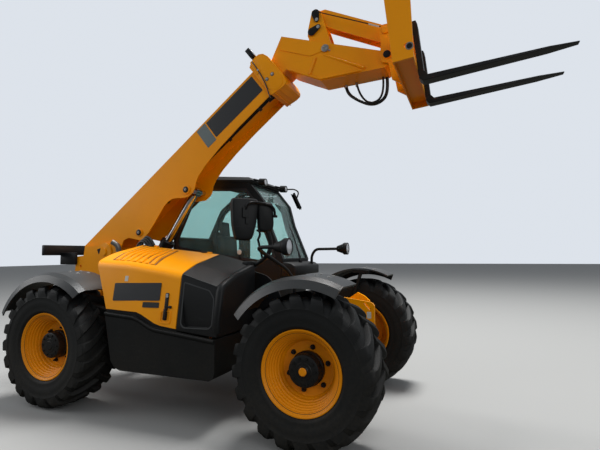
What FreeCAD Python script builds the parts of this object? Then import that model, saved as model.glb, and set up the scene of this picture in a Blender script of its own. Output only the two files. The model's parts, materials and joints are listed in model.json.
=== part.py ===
import FreeCAD, Part
import math
import os

V = FreeCAD.Vector
os.makedirs("parts", exist_ok=True)

# A telehandler with two boom sections, a side engine and four steered wheels.
# Millimetres. X points forward, Y to the left, Z up from the ground.
# The design frame has X = 0 halfway between the axles. Each piece is moved back
# by ORIGIN_X when it is written, so that the origin lies under the middle of the
# machine's length with the boom as it is parked.

# Wheels and axles
WHEELBASE = 2750.0
TRACK = 1870.0
AXLE_X = WHEELBASE / 2
TYRE_R = 605.0
TYRE_HALF_W = 235.0
TREAD_HALF_W = 205.0
SHOULDER_R = 560.0
BULGE_R = 455.0
RIM_R = 332.0
RIM_HALF_W = 190.0
BARREL_R = 300.0
DISH_R = 215.0
DISH_Y = 20.0
DISC_T = 30.0
RIM_CREST = 13.0
LUGS = 18
LUG_W = 62.0
LUG_SWEEP = 130.0
LUG_OVERLAP = 18.0
LUG_ROOT_R = 550.0
LUG_END_LOW_R = 500.0
LUG_END_TOP_R = 580.0
LUG_END_GROWTH = 8.0
HUB_R = 140.0
HUB_NOSE_R = 112.0
HUB_FRONT_Y = 150.0
AXLE_R = 85.0
DIFF_R = 112.0
DIFF_HALF_W = 120.0
AXLE_SADDLE_HALF = 130.0
KINGPIN_Y = TRACK / 2 - 235.0
KINGPIN_GAP = 0.3
YOKE_HALF_H = 150.0
YOKE_T = 36.0
YOKE_HALF_X = 58.0
YOKE_WEB_Y = KINGPIN_Y - 200.0
YOKE_WEB_T = 88.0
KNUCKLE_R = 98.0
DRUM_R = 112.0

# Mudguards
GUARD_R = 735.0
STALK_HEAD_DROP = 45.0
GUARD_T = 14.0
GUARD_OUTER_Y = TRACK / 2 + TYRE_HALF_W
GUARD_INNER_Y = TRACK / 2 - TYRE_HALF_W
GUARD_LIP = 92.0
GUARD_CROWN = 26.0
GUARD_ROUND = 90.0
FRONT_GUARD_ANGLES = (63.0, 144.0)
REAR_GUARD_ANGLES = (50.0, 154.0)
STALK_R = 21.0
STALK_Y = GUARD_INNER_Y - 28.0
GUARD_SEAT_GAP = 0.3

# Boom, in its own plane: U runs along it from its pivot, W is square to it
BOOM_ANGLE = 37.8
PIVOT_X = -1550.0
PIVOT_Z = 1550.0
BOOM_HALF_W = 180.0
BOOM_WALL = 12.0
BOOM_TOP = 304.0
BOOM_TAIL_U = -271.0
BOOM_END_U = 2780.0
FLOOR_W = 20.0
FLOOR_T = 18.0
FLOOR_START_U = 60.0
BOOM_LID_T = 14.0
COLLAR_END_U = 3005.0
COLLAR_HALF_W = 208.0
COLLAR_LOW_W = -78.0
COLLAR_TOP_W = 394.0
INNER_HALF_W = 140.0
INNER_LOW_W = 55.0
INNER_TOP_W = 264.0
INNER_TAIL_U = 120.0
INNER_WALL = 12.0
PAD_GAP = 0.3
PAD_L = 160.0
PAD_HALF_W = 100.0
PIVOT_R = 45.0
PIVOT_BOSS_R = 112.0
LIFT_PIN_U = 1339.0
LIFT_PIN_W = -153.0
SPARE_PIN_U = 521.0
SPARE_PIN_W = -117.0
EAR_PIN_R = 32.0
EAR_HEAD_R = 52.0
EAR_HEAD_T = 16.0
PIPE_R = 11.0
PIPE_YS = (-128.0, -96.0, -64.0, -32.0)
PIPE_START_U = 430.0
PIPE_END_U = 2700.0
PIPE_CLIP_US = (520.0, 960.0, 1560.0, 2050.0, 2540.0)

# Lift ram
LIFT_BASE_X = -1292.0
LIFT_BASE_Z = 924.0
LIFT_BARREL_R = 78.0
LIFT_BARREL_L = 905.0
LIFT_ROD_R = 45.0
LIFT_ROD_START = 560.0
LIFT_EYE_R = 56.0
LIFT_EYE_HALF_W = 50.0
LIFT_BASE_EYE_R = 66.0
LIFT_BASE_HALF_W = 82.0
LIFT_BASE_PIN_R = 34.0
EAR_T = 30.0
RAM_BORE_GAP = 0.3
PIN_GAP = 0.3

# Nose, lever, link and tilt ram
NOSE_PIN_X = 1911.0
NOSE_PIN_Z = 3415.0
NOSE_BOSS_R = 68.0
NOSE_PLATE_T = 12.0
LEVER_PIN_X = 1276.0
LEVER_PIN_Z = 3612.0
# the lever's two other pins, behind and above its pivot pin
LEVER_TOP_BACK = 113.0
LEVER_TOP_RISE = 410.0
LEVER_MID_BACK = 155.0
LEVER_MID_RISE = 221.0
LEVER_TOP_X = LEVER_PIN_X - LEVER_TOP_BACK
LEVER_TOP_Z = LEVER_PIN_Z + LEVER_TOP_RISE
LEVER_MID_X = LEVER_PIN_X - LEVER_MID_BACK
LEVER_MID_Z = LEVER_PIN_Z + LEVER_MID_RISE
LEVER_Y = 84.0
LEVER_T = 24.0
LEVER_PIN_R = 30.0
LINK_PIN_X = 1900.0
LINK_PIN_Z = 3660.0
LINK_HALF_W = 74.0
LINK_WALL = 12.0
LINK_HALF_H = 84.0
LINK_EYE_R = 58.0
TILT_BASE_U = 2620.0
TILT_BASE_W = 150.0
TILT_BARREL_R = 52.0
TILT_BARREL_L = 590.0
TILT_ROD_R = 28.0
TILT_ROD_START = 260.0
TILT_EYE_R = 46.0
TILT_EYE_HALF_W = 40.0
TILT_BASE_EYE_R = 50.0
HOSE_R = 17.0
HOSE_START_X = 1420.0
HOSE_END_X = 1855.0
# x and z of the hose's route between its two ends
HOSE_BENDS = [(1420, 3215), (1560, 3105), (1700, 3040), (1822, 3082), (1862, 3190)]
HOSE_Y = 112.0

# Carriage, fork frame and forks
LOBE_Y = 146.0
LOBE_T = 30.0
FRAME_HALF_W = 645.0
FRAME_PLATE_T = 25.0
FRAME_LEAN = 6.2
FRAME_BACK_X = 2035.0
FRAME_DEPTH = 178.0
FRAME_TOP_DEPTH = 214.0
FRAME_LOW_Z = 3116.0
FRAME_BEAM_WALL = 12.0
FRAME_BEAM_H = 80.0
FORK_BAR_LOW = 365.0
FORK_BAR_H = 60.0
FORK_Y = 310.0
FORK_HALF_W = 60.0
FORK_T = 50.0
FORK_L = 1235.0
FORK_TIP_T = 14.0
FORK_HEEL_DROP = 108.0
FORK_GAP = 0.3
SIDE_HOLE_R = 22.0
SIDE_HOLE_ALONG = FRAME_DEPTH - 46.0
SIDE_HOLE_UP = 112.0

# Chassis
RAIL_Y = 250.0
RAIL_T = 28.0
RAIL_TOP = 950.0
EXHAUST_X = -1290.0
EXHAUST_R = 30.0
RAIL_LOW = 480.0
AXLE_ARCH_Z = 720.0
CHASSIS_REAR = -2050.0
CHASSIS_NOSE = 1764.0
CHASSIS_LEFT_NOSE = 1600.0
DECK_T = 20.0
TOWER_Y = 205.0
TOWER_T = 30.0
SLING_X = -1945.0
SLING_Z = 1375.0
SLING_R = 17.0
TOWER_TOP = 1612.0
BULKHEAD_Y = -342.0
BULKHEAD_T = 12.0
BULKHEAD_TIE_X = (-800.0, -200.0, 420.0)
BULKHEAD_TIE_W = 60.0
OUTRIGGER_H = 50.0
# how far out the beams reach, right and left
OUTRIGGER_END_Y = (1047.0, 1040.0)
OUTRIGGER_W = 90.0
PANEL_BEAM_X = (905.0 - AXLE_X, 20.0, AXLE_X - 945.0)
STEP_BEAM_X = (905.0 - AXLE_X, AXLE_X - 995.0)
SKIN_T = 14.0
SEAT_GAP = 0.3

# Engine side
ENGINE_BOX = (-560.0, 90.0, -930.0, -420.0, 1220.0)
PANEL_OUT_Y = -1062.0
PANEL_IN_Y = -360.0
PANEL_LOW_Z = 437.0
PANEL_DECK_Z = 500.0
PANEL_REAR_X = 708.0 - AXLE_X
BONNET_FRONT_X = 160.0
BONNET_T = 16.0
BONNET_REAR_X = -880.0
BONNET_HINGE_Y = BULKHEAD_Y - 8.0
BONNET_HINGE_Z = 1628.0
BONNET_FALL = -0.1135
BONNET_HINGES = (-760.0, -60.0)
POD_FRONT_X = AXLE_X - 803.0
POD_GAP = 6.0

# Cab
CAB_IN_Y = RAIL_Y + RAIL_T + 0.3
CAB_OUT_Y = 1100.0
CAB_WALL = 36.0
CAB_FLOOR_Z = 742.0
CAB_ROOF_T = 88.0
GLASS_T = 8.0
GLASS_GAP = 0.3
DOOR_GAP = 8.0
DOOR_T = 34.0
HINGE_R = 14.0
COWL_FRONT_X = 752.0
STEP_TOP_Z = 700.0
STEP_LOW_Z = 460.0
MIRROR_TURN = 42.0
LEFT_MIRROR_TURN = 24.0
WORK_LAMP_Y = (350.0, 950.0)
WORK_LAMP_R = 45.0
LAMP_X = 1058.0
LAMP_Y = 900.0
LAMP_Z = 1571.0
LAMP_R = 60.0
LAMP_BACK_R = 34.0
LAMP_CONE_L = 76.0
LAMP_DRUM_L = 55.0
LAMP_ARM_R = 17.0

# Outlines, each a table of corners. Chassis, cab and panels are (x, z) seen from the side.
TOWER_OUTLINE = [
    (CHASSIS_REAR, RAIL_TOP - 60), (CHASSIS_REAR, 1200), (-2020, 1493), (-1900, 1506), (-1880, TOWER_TOP),
    (-1380, TOWER_TOP + 40), (-1180, 1400), (-960, 1180), (-900, RAIL_TOP - 60)
]
NOSE_SLOT = [(1662, 1052), (1684, 1062), (1738, 1000), (1716, 990)]
BULKHEAD_OUTLINE = [
    (-845, RAIL_TOP - 20), (-845, 1580), (40, 1480), (POD_FRONT_X - 40, 1395),
    (POD_FRONT_X - 40, RAIL_TOP - 20)
]
BONNET_REAR_CUT = [(-900, 900), (-672, 900), (-706, 1002), (-847, 1449), (-865, 1700), (-900, 1700)]
BONNET_SEAM = [(-900, 950), (-300, 950), (-111, 868), (300, 820)]
# x, ridge height and lower edge of each section of the bonnet
BONNET_SECTIONS = [(BONNET_REAR_X, 1450, 950), (-420, 1427, 950), (BONNET_FRONT_X, 1336, 865)]
COWL_OUTLINE = [(540, 1250), (COWL_FRONT_X, 1268), (COWL_FRONT_X, 1372), (700, 1404), (560, 1424)]
MIRROR_OUTLINE = [
    (470, 1700), (500, 1655), (640, 1640), (705, 1700), (735, 1980), (728, 2045), (480, 2050), (466, 2010)
]
SECOND_MIRROR_OUTLINE = [(625, 1748), (735, 1742), (765, 1790), (760, 2008), (640, 2012)]
LEFT_MIRROR_OUTLINE = [(430, 2298), (455, 2306), (545, 2108), (520, 2094)]
POD_INSET = [(205, 905), (200, 1262), (465, 1190), (515, 1120), (520, 905), (490, 872), (240, 872)]
CAB_PROFILE = [
    (-580, CAB_FLOOR_Z), (555, CAB_FLOOR_Z), (565, 1240), (600, 1450), (500, 1690), (420, 1880),
    (350, 2140), (170, 2362), (-380, 2400), (-720, 2140), (-930, 1720), (-940, 1430), (-600, 1400),
]
RIGHT_WINDOW = [
    (-880, 1590), (-880, 1700), (-690, 2090), (-400, 2320), (120, 2290), (275, 2110), (345, 1860),
    (425, 1670), (500, 1480), (300, 1420), (-300, 1500),
]
DOOR_OUTLINE = [
    (-350, 812), (470, 812), (480, 1240), (510, 1450), (430, 1660), (350, 1850), (285, 2105),
    (130, 2290), (-350, 2322),
]
DOOR_WINDOW = [
    (-290, 1180), (425, 1180), (450, 1440), (372, 1650), (292, 1840), (232, 2075), (105, 2232),
    (-290, 2262),
]
REAR_SIDE_WINDOW = [(-880, 1500), (-880, 1700), (-690, 2090), (-430, 2300), (-420, 1500)]
FRONT_LINE = [(596, 1460), (500, 1690), (420, 1880), (350, 2140), (190, 2338)]
REAR_LINE = [(-400, 2385), (-720, 2140), (-920, 1740)]
DOOR_HINGE_X = -372.0
DOOR_HINGE_Y = CAB_OUT_Y + 15.0
SEAT_X = -420.0
SEAT_Y0 = 480.0
SEAT_Y1 = 920.0

# Boom outlines in (u, w): the side plate's lower edge from the collar to the pivot, and the collar
BOOM_LOWER_EDGE = [
    (2280, -56), (1969, -70), (1718, -97), (1560, -134), (1488, -168), (1432, -216), (1385, -234),
    (1305, -233), (1245, -196), (1178, -142), (1120, -104), (1060, -92), (988, -97), (857, -137),
    (724, -177), (625, -202), (540, -210), (470, -196), (417, -135), (352, -62), (272, -38),
]
COLLAR_OUTLINE = [
    (BOOM_END_U - 4, COLLAR_LOW_W), (COLLAR_END_U - 90, COLLAR_LOW_W - 26),
    (COLLAR_END_U - 40, COLLAR_LOW_W - 24), (COLLAR_END_U - 18, COLLAR_LOW_W), (COLLAR_END_U, -10),
    (COLLAR_END_U, 285), (COLLAR_END_U - 22, 352), (COLLAR_END_U - 62, COLLAR_TOP_W - 8),
    (COLLAR_END_U - 120, COLLAR_TOP_W), (BOOM_END_U + 45, COLLAR_TOP_W - 14),
    (BOOM_END_U - 4, COLLAR_TOP_W - 42),
]

# Nose outlines in (x, z), with the edge where each raised band starts and how much it rises from there
NOSE_FRONT_LOW = (1880, 3312)
NOSE_BEND_LOW = (1221, 3283)
NOSE_OUTLINE = [
    (663, 3602), (780, 3841), (1843, 3484), (1911, 3483), (1970, 3442), (1960, 3372), NOSE_FRONT_LOW,
    NOSE_BEND_LOW, (868, 3447),
]
NOSE_MOUTH = [(850, 3650), (850, 3900), (1760, 3600), (1760, 3440)]
NOSE_BAND = [(766, 3690), (1106, 3563), (1228, 3589), (1338, 3646), (786, 3832)]
NOSE_BAND_EDGE = ((780, 3841), (1843, 3484))
NOSE_GUSSET = [(1198, 3540), (1300, 3540), (1660, 3338), (1240, 3302), (1128, 3362)]
NOSE_GUSSET_EDGE = ((1670, 3330), (1100, 3290))
BAND_RISE = 0.05

ORIGIN_X = 561.0
BOOM_COS = math.cos(math.radians(BOOM_ANGLE))
BOOM_SIN = math.sin(math.radians(BOOM_ANGLE))


def polygon(points, normal):
    # points are (a, b): (x, z) for a normal of "y", (y, z) for "x", (x, y) for "z"
    spots = {"y": lambda a, b: V(a, 0, b), "x": lambda a, b: V(0, a, b), "z": lambda a, b: V(a, b, 0)}
    corners = [spots[normal](a, b) for a, b in points]
    return Part.Face(Part.makePolygon(corners + corners[:1]))


def slab(points, low, high, normal="y"):
    # a plate of the outline, between two places along the normal
    along = {"y": V(0, 1, 0), "x": V(1, 0, 0), "z": V(0, 0, 1)}[normal]
    face = polygon(points, normal)
    face.translate(along * low)
    return face.extrude(along * (high - low))


def box(x0, x1, y0, y1, z0, z1):
    return Part.makeBox(x1 - x0, y1 - y0, z1 - z0, V(x0, y0, z0))


def rod(start, end, radius):
    way = V(*end) - V(*start)
    return Part.makeCylinder(radius, way.Length, V(*start), way)


def cross_pin(x, z, radius, y0, y1):
    return rod((x, y0, z), (x, y1, z), radius)


def both_sides(shape):
    return [shape, shape.mirror(V(0, 0, 0), V(0, 1, 0))]


def join(shapes):
    whole = shapes[0].fuse(shapes[1:]) if len(shapes) > 1 else shapes[0]
    return whole.removeSplitter()


def spin_y(outline):
    # outline is (radius, y) about the Y axis
    corners = [V(r, y, 0) for r, y in outline]
    face = Part.Face(Part.makePolygon(corners + corners[:1]))
    return face.revolve(V(0, 0, 0), V(0, 1, 0), 360)


def moved(shape, x, y, z):
    shape.translate(V(x, y, z))
    return shape


def loft(sections):
    wires = [Part.makePolygon([V(*p) for p in s] + [V(*s[0])]) for s in sections]
    return Part.makeLoft(wires, True, True)


def boom_point(u, w):
    x = PIVOT_X + u * BOOM_COS - w * BOOM_SIN
    z = PIVOT_Z + u * BOOM_SIN + w * BOOM_COS
    return x, z


def boom_points(rows):
    return [boom_point(u, w) for u, w in rows]


def boom_block(u0, u1, w0, w1, half):
    # a block across the boom, between two stations and two levels
    return slab(boom_points([(u0, w0), (u1, w0), (u1, w1), (u0, w1)]), -half, half)


def tangent_path(points, share=0.45):
    # straight runs joined by arcs, each as large as its two runs allow
    spots = [V(*p) for p in points]
    edges = []
    start = spots[0]
    for before, corner, after in zip(spots, spots[1:], spots[2:]):
        run_in = (corner - before).normalize()
        run_out = (after - corner).normalize()
        turn = run_in.getAngle(run_out)
        cut = share * min((corner - before).Length, (after - corner).Length)
        radius = cut / math.tan(turn / 2)
        enter = corner - run_in * cut
        leave = corner + run_out * cut
        inward = (run_out - run_in).normalize()
        middle = corner + inward * (radius / math.cos(turn / 2) - radius)
        edges.append(Part.LineSegment(start, enter).toShape())
        edges.append(Part.Arc(enter, middle, leave).toShape())
        start = leave
    edges.append(Part.LineSegment(start, spots[-1]).toShape())
    return Part.Wire(edges)


def tube(points, radius):
    path = tangent_path(points)
    first = V(*points[1]) - V(*points[0])
    ring = Part.Wire(Part.makeCircle(radius, V(*points[0]), first))
    return path.makePipeShell([ring], True, False)


def ram_along(shape, x, z, angle):
    # the shape is built along +X from its pin, then turned up by the angle
    shape.rotate(V(0, 0, 0), V(0, 1, 0), -angle)
    return moved(shape, x, 0, z)


# Wheels

def lug(side):
    half = LUG_W / 2
    top = math.sqrt(TYRE_R ** 2 - half ** 2)
    wide = half + LUG_END_GROWTH
    end_y = TYRE_HALF_W + 1
    near = [(-half, -LUG_OVERLAP, LUG_ROOT_R), (half, -LUG_OVERLAP, LUG_ROOT_R),
            (half, -LUG_OVERLAP, top), (-half, -LUG_OVERLAP, top)]
    far = [(LUG_SWEEP - wide, end_y, LUG_END_LOW_R), (LUG_SWEEP + wide, end_y, LUG_END_LOW_R),
           (LUG_SWEEP + wide, end_y, LUG_END_TOP_R), (LUG_SWEEP - wide, end_y, LUG_END_TOP_R)]
    block = loft([near, far])
    return block if side > 0 else block.mirror(V(0, 0, 0), V(0, 1, 0))


def tyre():
    outline = [(BARREL_R + PIN_GAP, -RIM_HALF_W), (BULGE_R, -TYRE_HALF_W), (SHOULDER_R, -TREAD_HALF_W),
               (SHOULDER_R, TREAD_HALF_W), (BULGE_R, TYRE_HALF_W), (BARREL_R + PIN_GAP, RIM_HALF_W)]
    casing = spin_y(outline)
    blocks = []
    step = 360.0 / LUGS
    for index in range(LUGS):
        for side, shift in ((1, 0.0), (-1, 0.5)):
            block = lug(side)
            block.rotate(V(0, 0, 0), V(0, 1, 0), (index + shift) * step + 180)
            blocks.append(block)
    return casing.fuse(blocks)


def rim():
    # outboard is +Y; a stepped dish with the planetary hub's housing in its middle
    outline = [(0, HUB_FRONT_Y), (HUB_NOSE_R, HUB_FRONT_Y), (HUB_R, DISH_Y), (DISH_R, DISH_Y),
               (BARREL_R, RIM_HALF_W - 40), (RIM_R, RIM_HALF_W + RIM_CREST),
               (BARREL_R, RIM_HALF_W), (BARREL_R, -RIM_HALF_W), (HUB_R, DISH_Y - DISC_T),
               (0, DISH_Y - DISC_T)]
    return spin_y(outline)


def knuckle():
    # built for the left wheel, about the kingpin at Y = KINGPIN_Y, X and Z = 0
    half = YOKE_HALF_H - KINGPIN_GAP
    post = rod((0, KINGPIN_Y, -half), (0, KINGPIN_Y, half), KNUCKLE_R)
    drum_end = TRACK / 2 + DISH_Y - DISC_T - SEAT_GAP
    drum = rod((0, KINGPIN_Y, 0), (0, drum_end, 0), DRUM_R)
    arm = box(-170, -40, STALK_Y - 28, STALK_Y + 48, 60, 125)
    foot = (-140, STALK_Y, 90)
    knee = (-75, STALK_Y, 365)
    head = (35, STALK_Y, GUARD_R - STALK_HEAD_DROP)
    stalk = [rod(foot, knee, STALK_R), rod(knee, head, STALK_R), moved(Part.makeSphere(STALK_R), *knee)]
    inner_r = GUARD_R - GUARD_T - GUARD_SEAT_GAP
    low_z = math.sqrt(inner_r ** 2 - 150 ** 2) - 22
    bracket = box(-60, 130, STALK_Y - 30, TRACK / 2 + 25, low_z, inner_r + 10)
    under = rod((0, STALK_Y - 70, 0), (0, TRACK / 2 + 65, 0), inner_r)
    bracket = bracket.common(under)
    return join([post, drum, arm] + stalk + [bracket])


def guard(angles):
    # an arc of sheet over the wheel, with a lip turned down at its outer edge
    first, last = angles
    flat_y = GUARD_OUTER_Y - GUARD_ROUND
    bend_y = GUARD_OUTER_Y - GUARD_ROUND / 3
    bend_r = GUARD_R - GUARD_CROWN
    low_r = GUARD_R - GUARD_LIP
    rows = [(GUARD_R - GUARD_T, GUARD_INNER_Y), (GUARD_R, GUARD_INNER_Y), (GUARD_R, flat_y), (bend_r, bend_y),
            (low_r, GUARD_OUTER_Y), (low_r, GUARD_OUTER_Y - GUARD_T), (bend_r - GUARD_T, bend_y - GUARD_T),
            (GUARD_R - GUARD_T, flat_y)]
    corners = [V(r, y, 0) for r, y in rows]
    face = Part.Face(Part.makePolygon(corners + corners[:1]))
    sheet = face.revolve(V(0, 0, 0), V(0, 1, 0), -(last - first))
    sheet.rotate(V(0, 0, 0), V(0, 1, 0), -first)
    return sheet


def axle():
    # the beam with its differential and a yoke for each kingpin, about X and Z = 0
    beam = rod((0, -YOKE_WEB_Y, 0), (0, YOKE_WEB_Y, 0), AXLE_R)
    diff = rod((0, -DIFF_HALF_W, 0), (0, DIFF_HALF_W, 0), DIFF_R)
    saddle = box(-AXLE_SADDLE_HALF, AXLE_SADDLE_HALF, -240, 240, 40, AXLE_ARCH_Z - TYRE_R - SEAT_GAP)
    high = YOKE_HALF_H + YOKE_T
    tip = KINGPIN_Y + 60
    web = YOKE_WEB_Y + YOKE_WEB_T
    rows = [(YOKE_WEB_Y - 60, -AXLE_R), (YOKE_WEB_Y, -high), (tip, -high), (tip, -YOKE_HALF_H),
            (web, -YOKE_HALF_H), (web, YOKE_HALF_H), (tip, YOKE_HALF_H), (tip, high),
            (YOKE_WEB_Y, high), (YOKE_WEB_Y - 60, AXLE_R)]
    yoke = slab(rows, -YOKE_HALF_X, YOKE_HALF_X, "x")
    return join([beam, diff, saddle] + both_sides(yoke))


# Chassis and what it carries

def rails():
    arch_in = AXLE_X - 325
    arch_out = AXLE_X - 205
    low = [(CHASSIS_REAR, AXLE_ARCH_Z), (-arch_out, AXLE_ARCH_Z), (-arch_in, RAIL_LOW), (arch_in, RAIL_LOW),
           (arch_out, AXLE_ARCH_Z), (AXLE_X + 125, AXLE_ARCH_Z)]
    high = [(AXLE_X + 97, 1101), (1250, RAIL_TOP), (CHASSIS_REAR, RAIL_TOP)]
    nose = [(CHASSIS_NOSE, 815), (CHASSIS_NOSE, 1030), (CHASSIS_NOSE - 14, 1052), (CHASSIS_NOSE - 43, 1065)]
    stub = [(CHASSIS_LEFT_NOSE, 760), (CHASSIS_LEFT_NOSE, 1020), (CHASSIS_LEFT_NOSE - 60, 1070)]
    right = slab(low + nose + high, -RAIL_Y - RAIL_T, -RAIL_Y)
    left = slab(low + stub + high, RAIL_Y, RAIL_Y + RAIL_T)
    slot = slab(NOSE_SLOT, -RAIL_Y - RAIL_T - 5, -RAIL_Y + 5)
    return [right.cut(slot), left]


def decks():
    half = RAIL_Y + RAIL_T / 2
    top = box(CHASSIS_REAR, 1300, -half, half, RAIL_TOP - DECK_T, RAIL_TOP)
    slot = box(LIFT_BASE_X - 130, -800, -125, 125, RAIL_TOP - 3 * DECK_T, RAIL_TOP + DECK_T)
    pocket = box(-700, -120, -150, 150, RAIL_TOP - 3 * DECK_T, RAIL_TOP + DECK_T)
    low = box(325 - AXLE_X, AXLE_X - 325, -half, half, RAIL_LOW, RAIL_LOW + DECK_T)
    rear = box(CHASSIS_REAR, CHASSIS_REAR + DECK_T, -RAIL_Y - RAIL_T, RAIL_Y + RAIL_T, 560, 1100)
    saddles = [box(x - AXLE_SADDLE_HALF, x + AXLE_SADDLE_HALF, -half, half, AXLE_ARCH_Z, AXLE_ARCH_Z + 40)
               for x in (-AXLE_X, AXLE_X)]
    return [top.cut(slot).cut(pocket), low, rear] + saddles


def tower():
    plate = slab(TOWER_OUTLINE, TOWER_Y, TOWER_Y + TOWER_T)
    hole = cross_pin(PIVOT_X, PIVOT_Z, PIVOT_R, TOWER_Y - 5, TOWER_Y + TOWER_T + 5)
    sling = cross_pin(SLING_X, SLING_Z, SLING_R, TOWER_Y - 5, TOWER_Y + TOWER_T + 5)
    boss = cross_pin(PIVOT_X, PIVOT_Z, PIVOT_BOSS_R, TOWER_Y + TOWER_T - 2, TOWER_Y + TOWER_T + 16)
    cap = cross_pin(PIVOT_X, PIVOT_Z, PIVOT_R - PIN_GAP, TOWER_Y, TOWER_Y + TOWER_T + 30)
    shelf = box(CHASSIS_REAR, -1300, TOWER_Y, RAIL_Y + RAIL_T, RAIL_TOP - DECK_T, RAIL_TOP)
    gusset = slab([(TOWER_Y + TOWER_T, RAIL_TOP), (RAIL_Y + RAIL_T, RAIL_TOP), (TOWER_Y + TOWER_T, 1250)],
                  -1600, -1575, "x")
    solid = join([plate.cut([hole, sling]), boss, cap, shelf, gusset])
    bracket = box(EXHAUST_X - 45, EXHAUST_X + 45, -RAIL_Y - RAIL_T - 36, -TOWER_Y,
                  RAIL_TOP - DECK_T, RAIL_TOP)
    return both_sides(solid) + [bracket]


def ram_base():
    reach = 85.0
    rows = [
        (LIFT_BASE_X - reach, AXLE_ARCH_Z + 30), (LIFT_BASE_X + reach, AXLE_ARCH_Z + 30),
        (LIFT_BASE_X + 60, LIFT_BASE_Z + 50), (LIFT_BASE_X, LIFT_BASE_Z + 78),
        (LIFT_BASE_X - 60, LIFT_BASE_Z + 50),
    ]
    inner = LIFT_BASE_HALF_W + SEAT_GAP
    ear = slab(rows, inner, inner + EAR_T)
    floor = box(LIFT_BASE_X - 120, LIFT_BASE_X + 300, -RAIL_Y - 5, RAIL_Y + 5, AXLE_ARCH_Z, AXLE_ARCH_Z + 35)
    end = inner + EAR_T + 12
    pin = cross_pin(LIFT_BASE_X, LIFT_BASE_Z, LIFT_BASE_PIN_R, -end, end)
    return both_sides(ear) + [floor, pin]


def outriggers():
    root = RAIL_Y + RAIL_T / 2
    half = OUTRIGGER_W / 2
    beams = []
    low = PANEL_DECK_Z
    for x in PANEL_BEAM_X:
        beams.append(box(x - half, x + half, -OUTRIGGER_END_Y[0], -root, low, low + OUTRIGGER_H))
    for x in STEP_BEAM_X:
        beams.append(box(x - half, x + half, root, OUTRIGGER_END_Y[1], STEP_TOP_Z, CAB_FLOOR_Z - SEAT_GAP))
    return beams


def bulkhead():
    plate = slab(BULKHEAD_OUTLINE, BULKHEAD_Y, BULKHEAD_Y + BULKHEAD_T)
    ties = [box(x, x + BULKHEAD_TIE_W, BULKHEAD_Y, -RAIL_Y, RAIL_TOP - 40, RAIL_TOP) for x in BULKHEAD_TIE_X]
    return [plate] + ties


def chassis_frame():
    return join(rails() + decks() + tower() + ram_base() + outriggers() + bulkhead() + bonnet_hinge_posts())


def engine_block():
    x0, x1, y0, y1, z1 = ENGINE_BOX
    return box(x0, x1, y0, y1, PANEL_DECK_Z + OUTRIGGER_H + SEAT_GAP, z1)


def lower_panel():
    end = POD_FRONT_X - 5
    rows = [
        (PANEL_REAR_X, 950), (-300, 950), (-111, 868), (end, 785), (end, 500), (end - 18, 458),
        (end - 62, PANEL_LOW_Z), (PANEL_REAR_X + 200, PANEL_LOW_Z), (PANEL_REAR_X + 130, 462),
        (PANEL_REAR_X + 84, 521),
    ]
    outer = slab(rows, PANEL_OUT_Y, PANEL_IN_Y)
    flat = polygon(rows, "y").makeOffset2D(-SKIN_T)
    flat.translate(V(0, PANEL_OUT_Y + SKIN_T, 0))
    hollow = flat.extrude(V(0, PANEL_IN_Y - PANEL_OUT_Y, 0))
    start = PANEL_REAR_X + 27
    lid = slab([(start, 930), (-300, 930), (-111, 850), (end - 67, 775), (end - 67, 1000), (start, 1000)],
               PANEL_OUT_Y + SKIN_T, PANEL_IN_Y + 10)
    shell = outer.cut(hollow).cut(lid)
    seats = [box(x - OUTRIGGER_W / 2, x + OUTRIGGER_W / 2, PANEL_OUT_Y + SKIN_T - 1, PANEL_IN_Y,
                 PANEL_LOW_Z + 5, PANEL_DECK_Z - SEAT_GAP) for x in PANEL_BEAM_X]
    return join([shell] + seats)


def hinge_z(x):
    # the bonnet's hinge line follows its sloping inner edge
    return BONNET_HINGE_Z + (x - BONNET_REAR_X) * BONNET_FALL


def hinge_barrel(x, length):
    return rod((x, BONNET_HINGE_Y, hinge_z(x)), (x + length, BONNET_HINGE_Y, hinge_z(x + length)), HINGE_R)


def bonnet_band(x, ridge, low):
    # the bonnet's skin seen from the front: inner edge, crown, ridge and lower edge
    top = hinge_z(x)
    crown = top * 0.36 + ridge * 0.64 + 22
    edge = BONNET_HINGE_Y - HINGE_R - SEAT_GAP
    outer = [(x, edge, top), (x, -780, crown), (x, -985, ridge), (x, PANEL_OUT_Y, low)]
    inner = [(x, PANEL_OUT_Y + BONNET_T, low), (x, -985 + BONNET_T, ridge - BONNET_T),
             (x, -780, crown - BONNET_T), (x, edge, top - BONNET_T)]
    return outer + inner


def bonnet():
    shell = loft([bonnet_band(x, ridge, low) for x, ridge, low in BONNET_SECTIONS])
    rear = slab(BONNET_REAR_CUT, -1200, -300)
    under = [(x, 700) for x, z in (BONNET_SEAM[-1], BONNET_SEAM[0])]
    low = slab([(x, z + SEAT_GAP) for x, z in BONNET_SEAM] + under, -1200, -300)
    barrels = [hinge_barrel(x, 70) for x in BONNET_HINGES]
    tabs = []
    for x in BONNET_HINGES:
        z = hinge_z(x + 35)
        tabs.append(box(x + 4, x + 66, BONNET_HINGE_Y - 30, BONNET_HINGE_Y - 2, z - 7, z + 3))
    return join([shell.cut(rear).cut(low)] + barrels + tabs)


def bonnet_hinge_posts():
    posts = []
    for x in BONNET_HINGES:
        start = x + 70 + SEAT_GAP
        posts.append(hinge_barrel(start, 50))
        top = hinge_z(start + 25)
        posts.append(box(start + 4, start + 46, BULKHEAD_Y, BULKHEAD_Y + BULKHEAD_T, 1450, top))
    return posts


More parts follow.
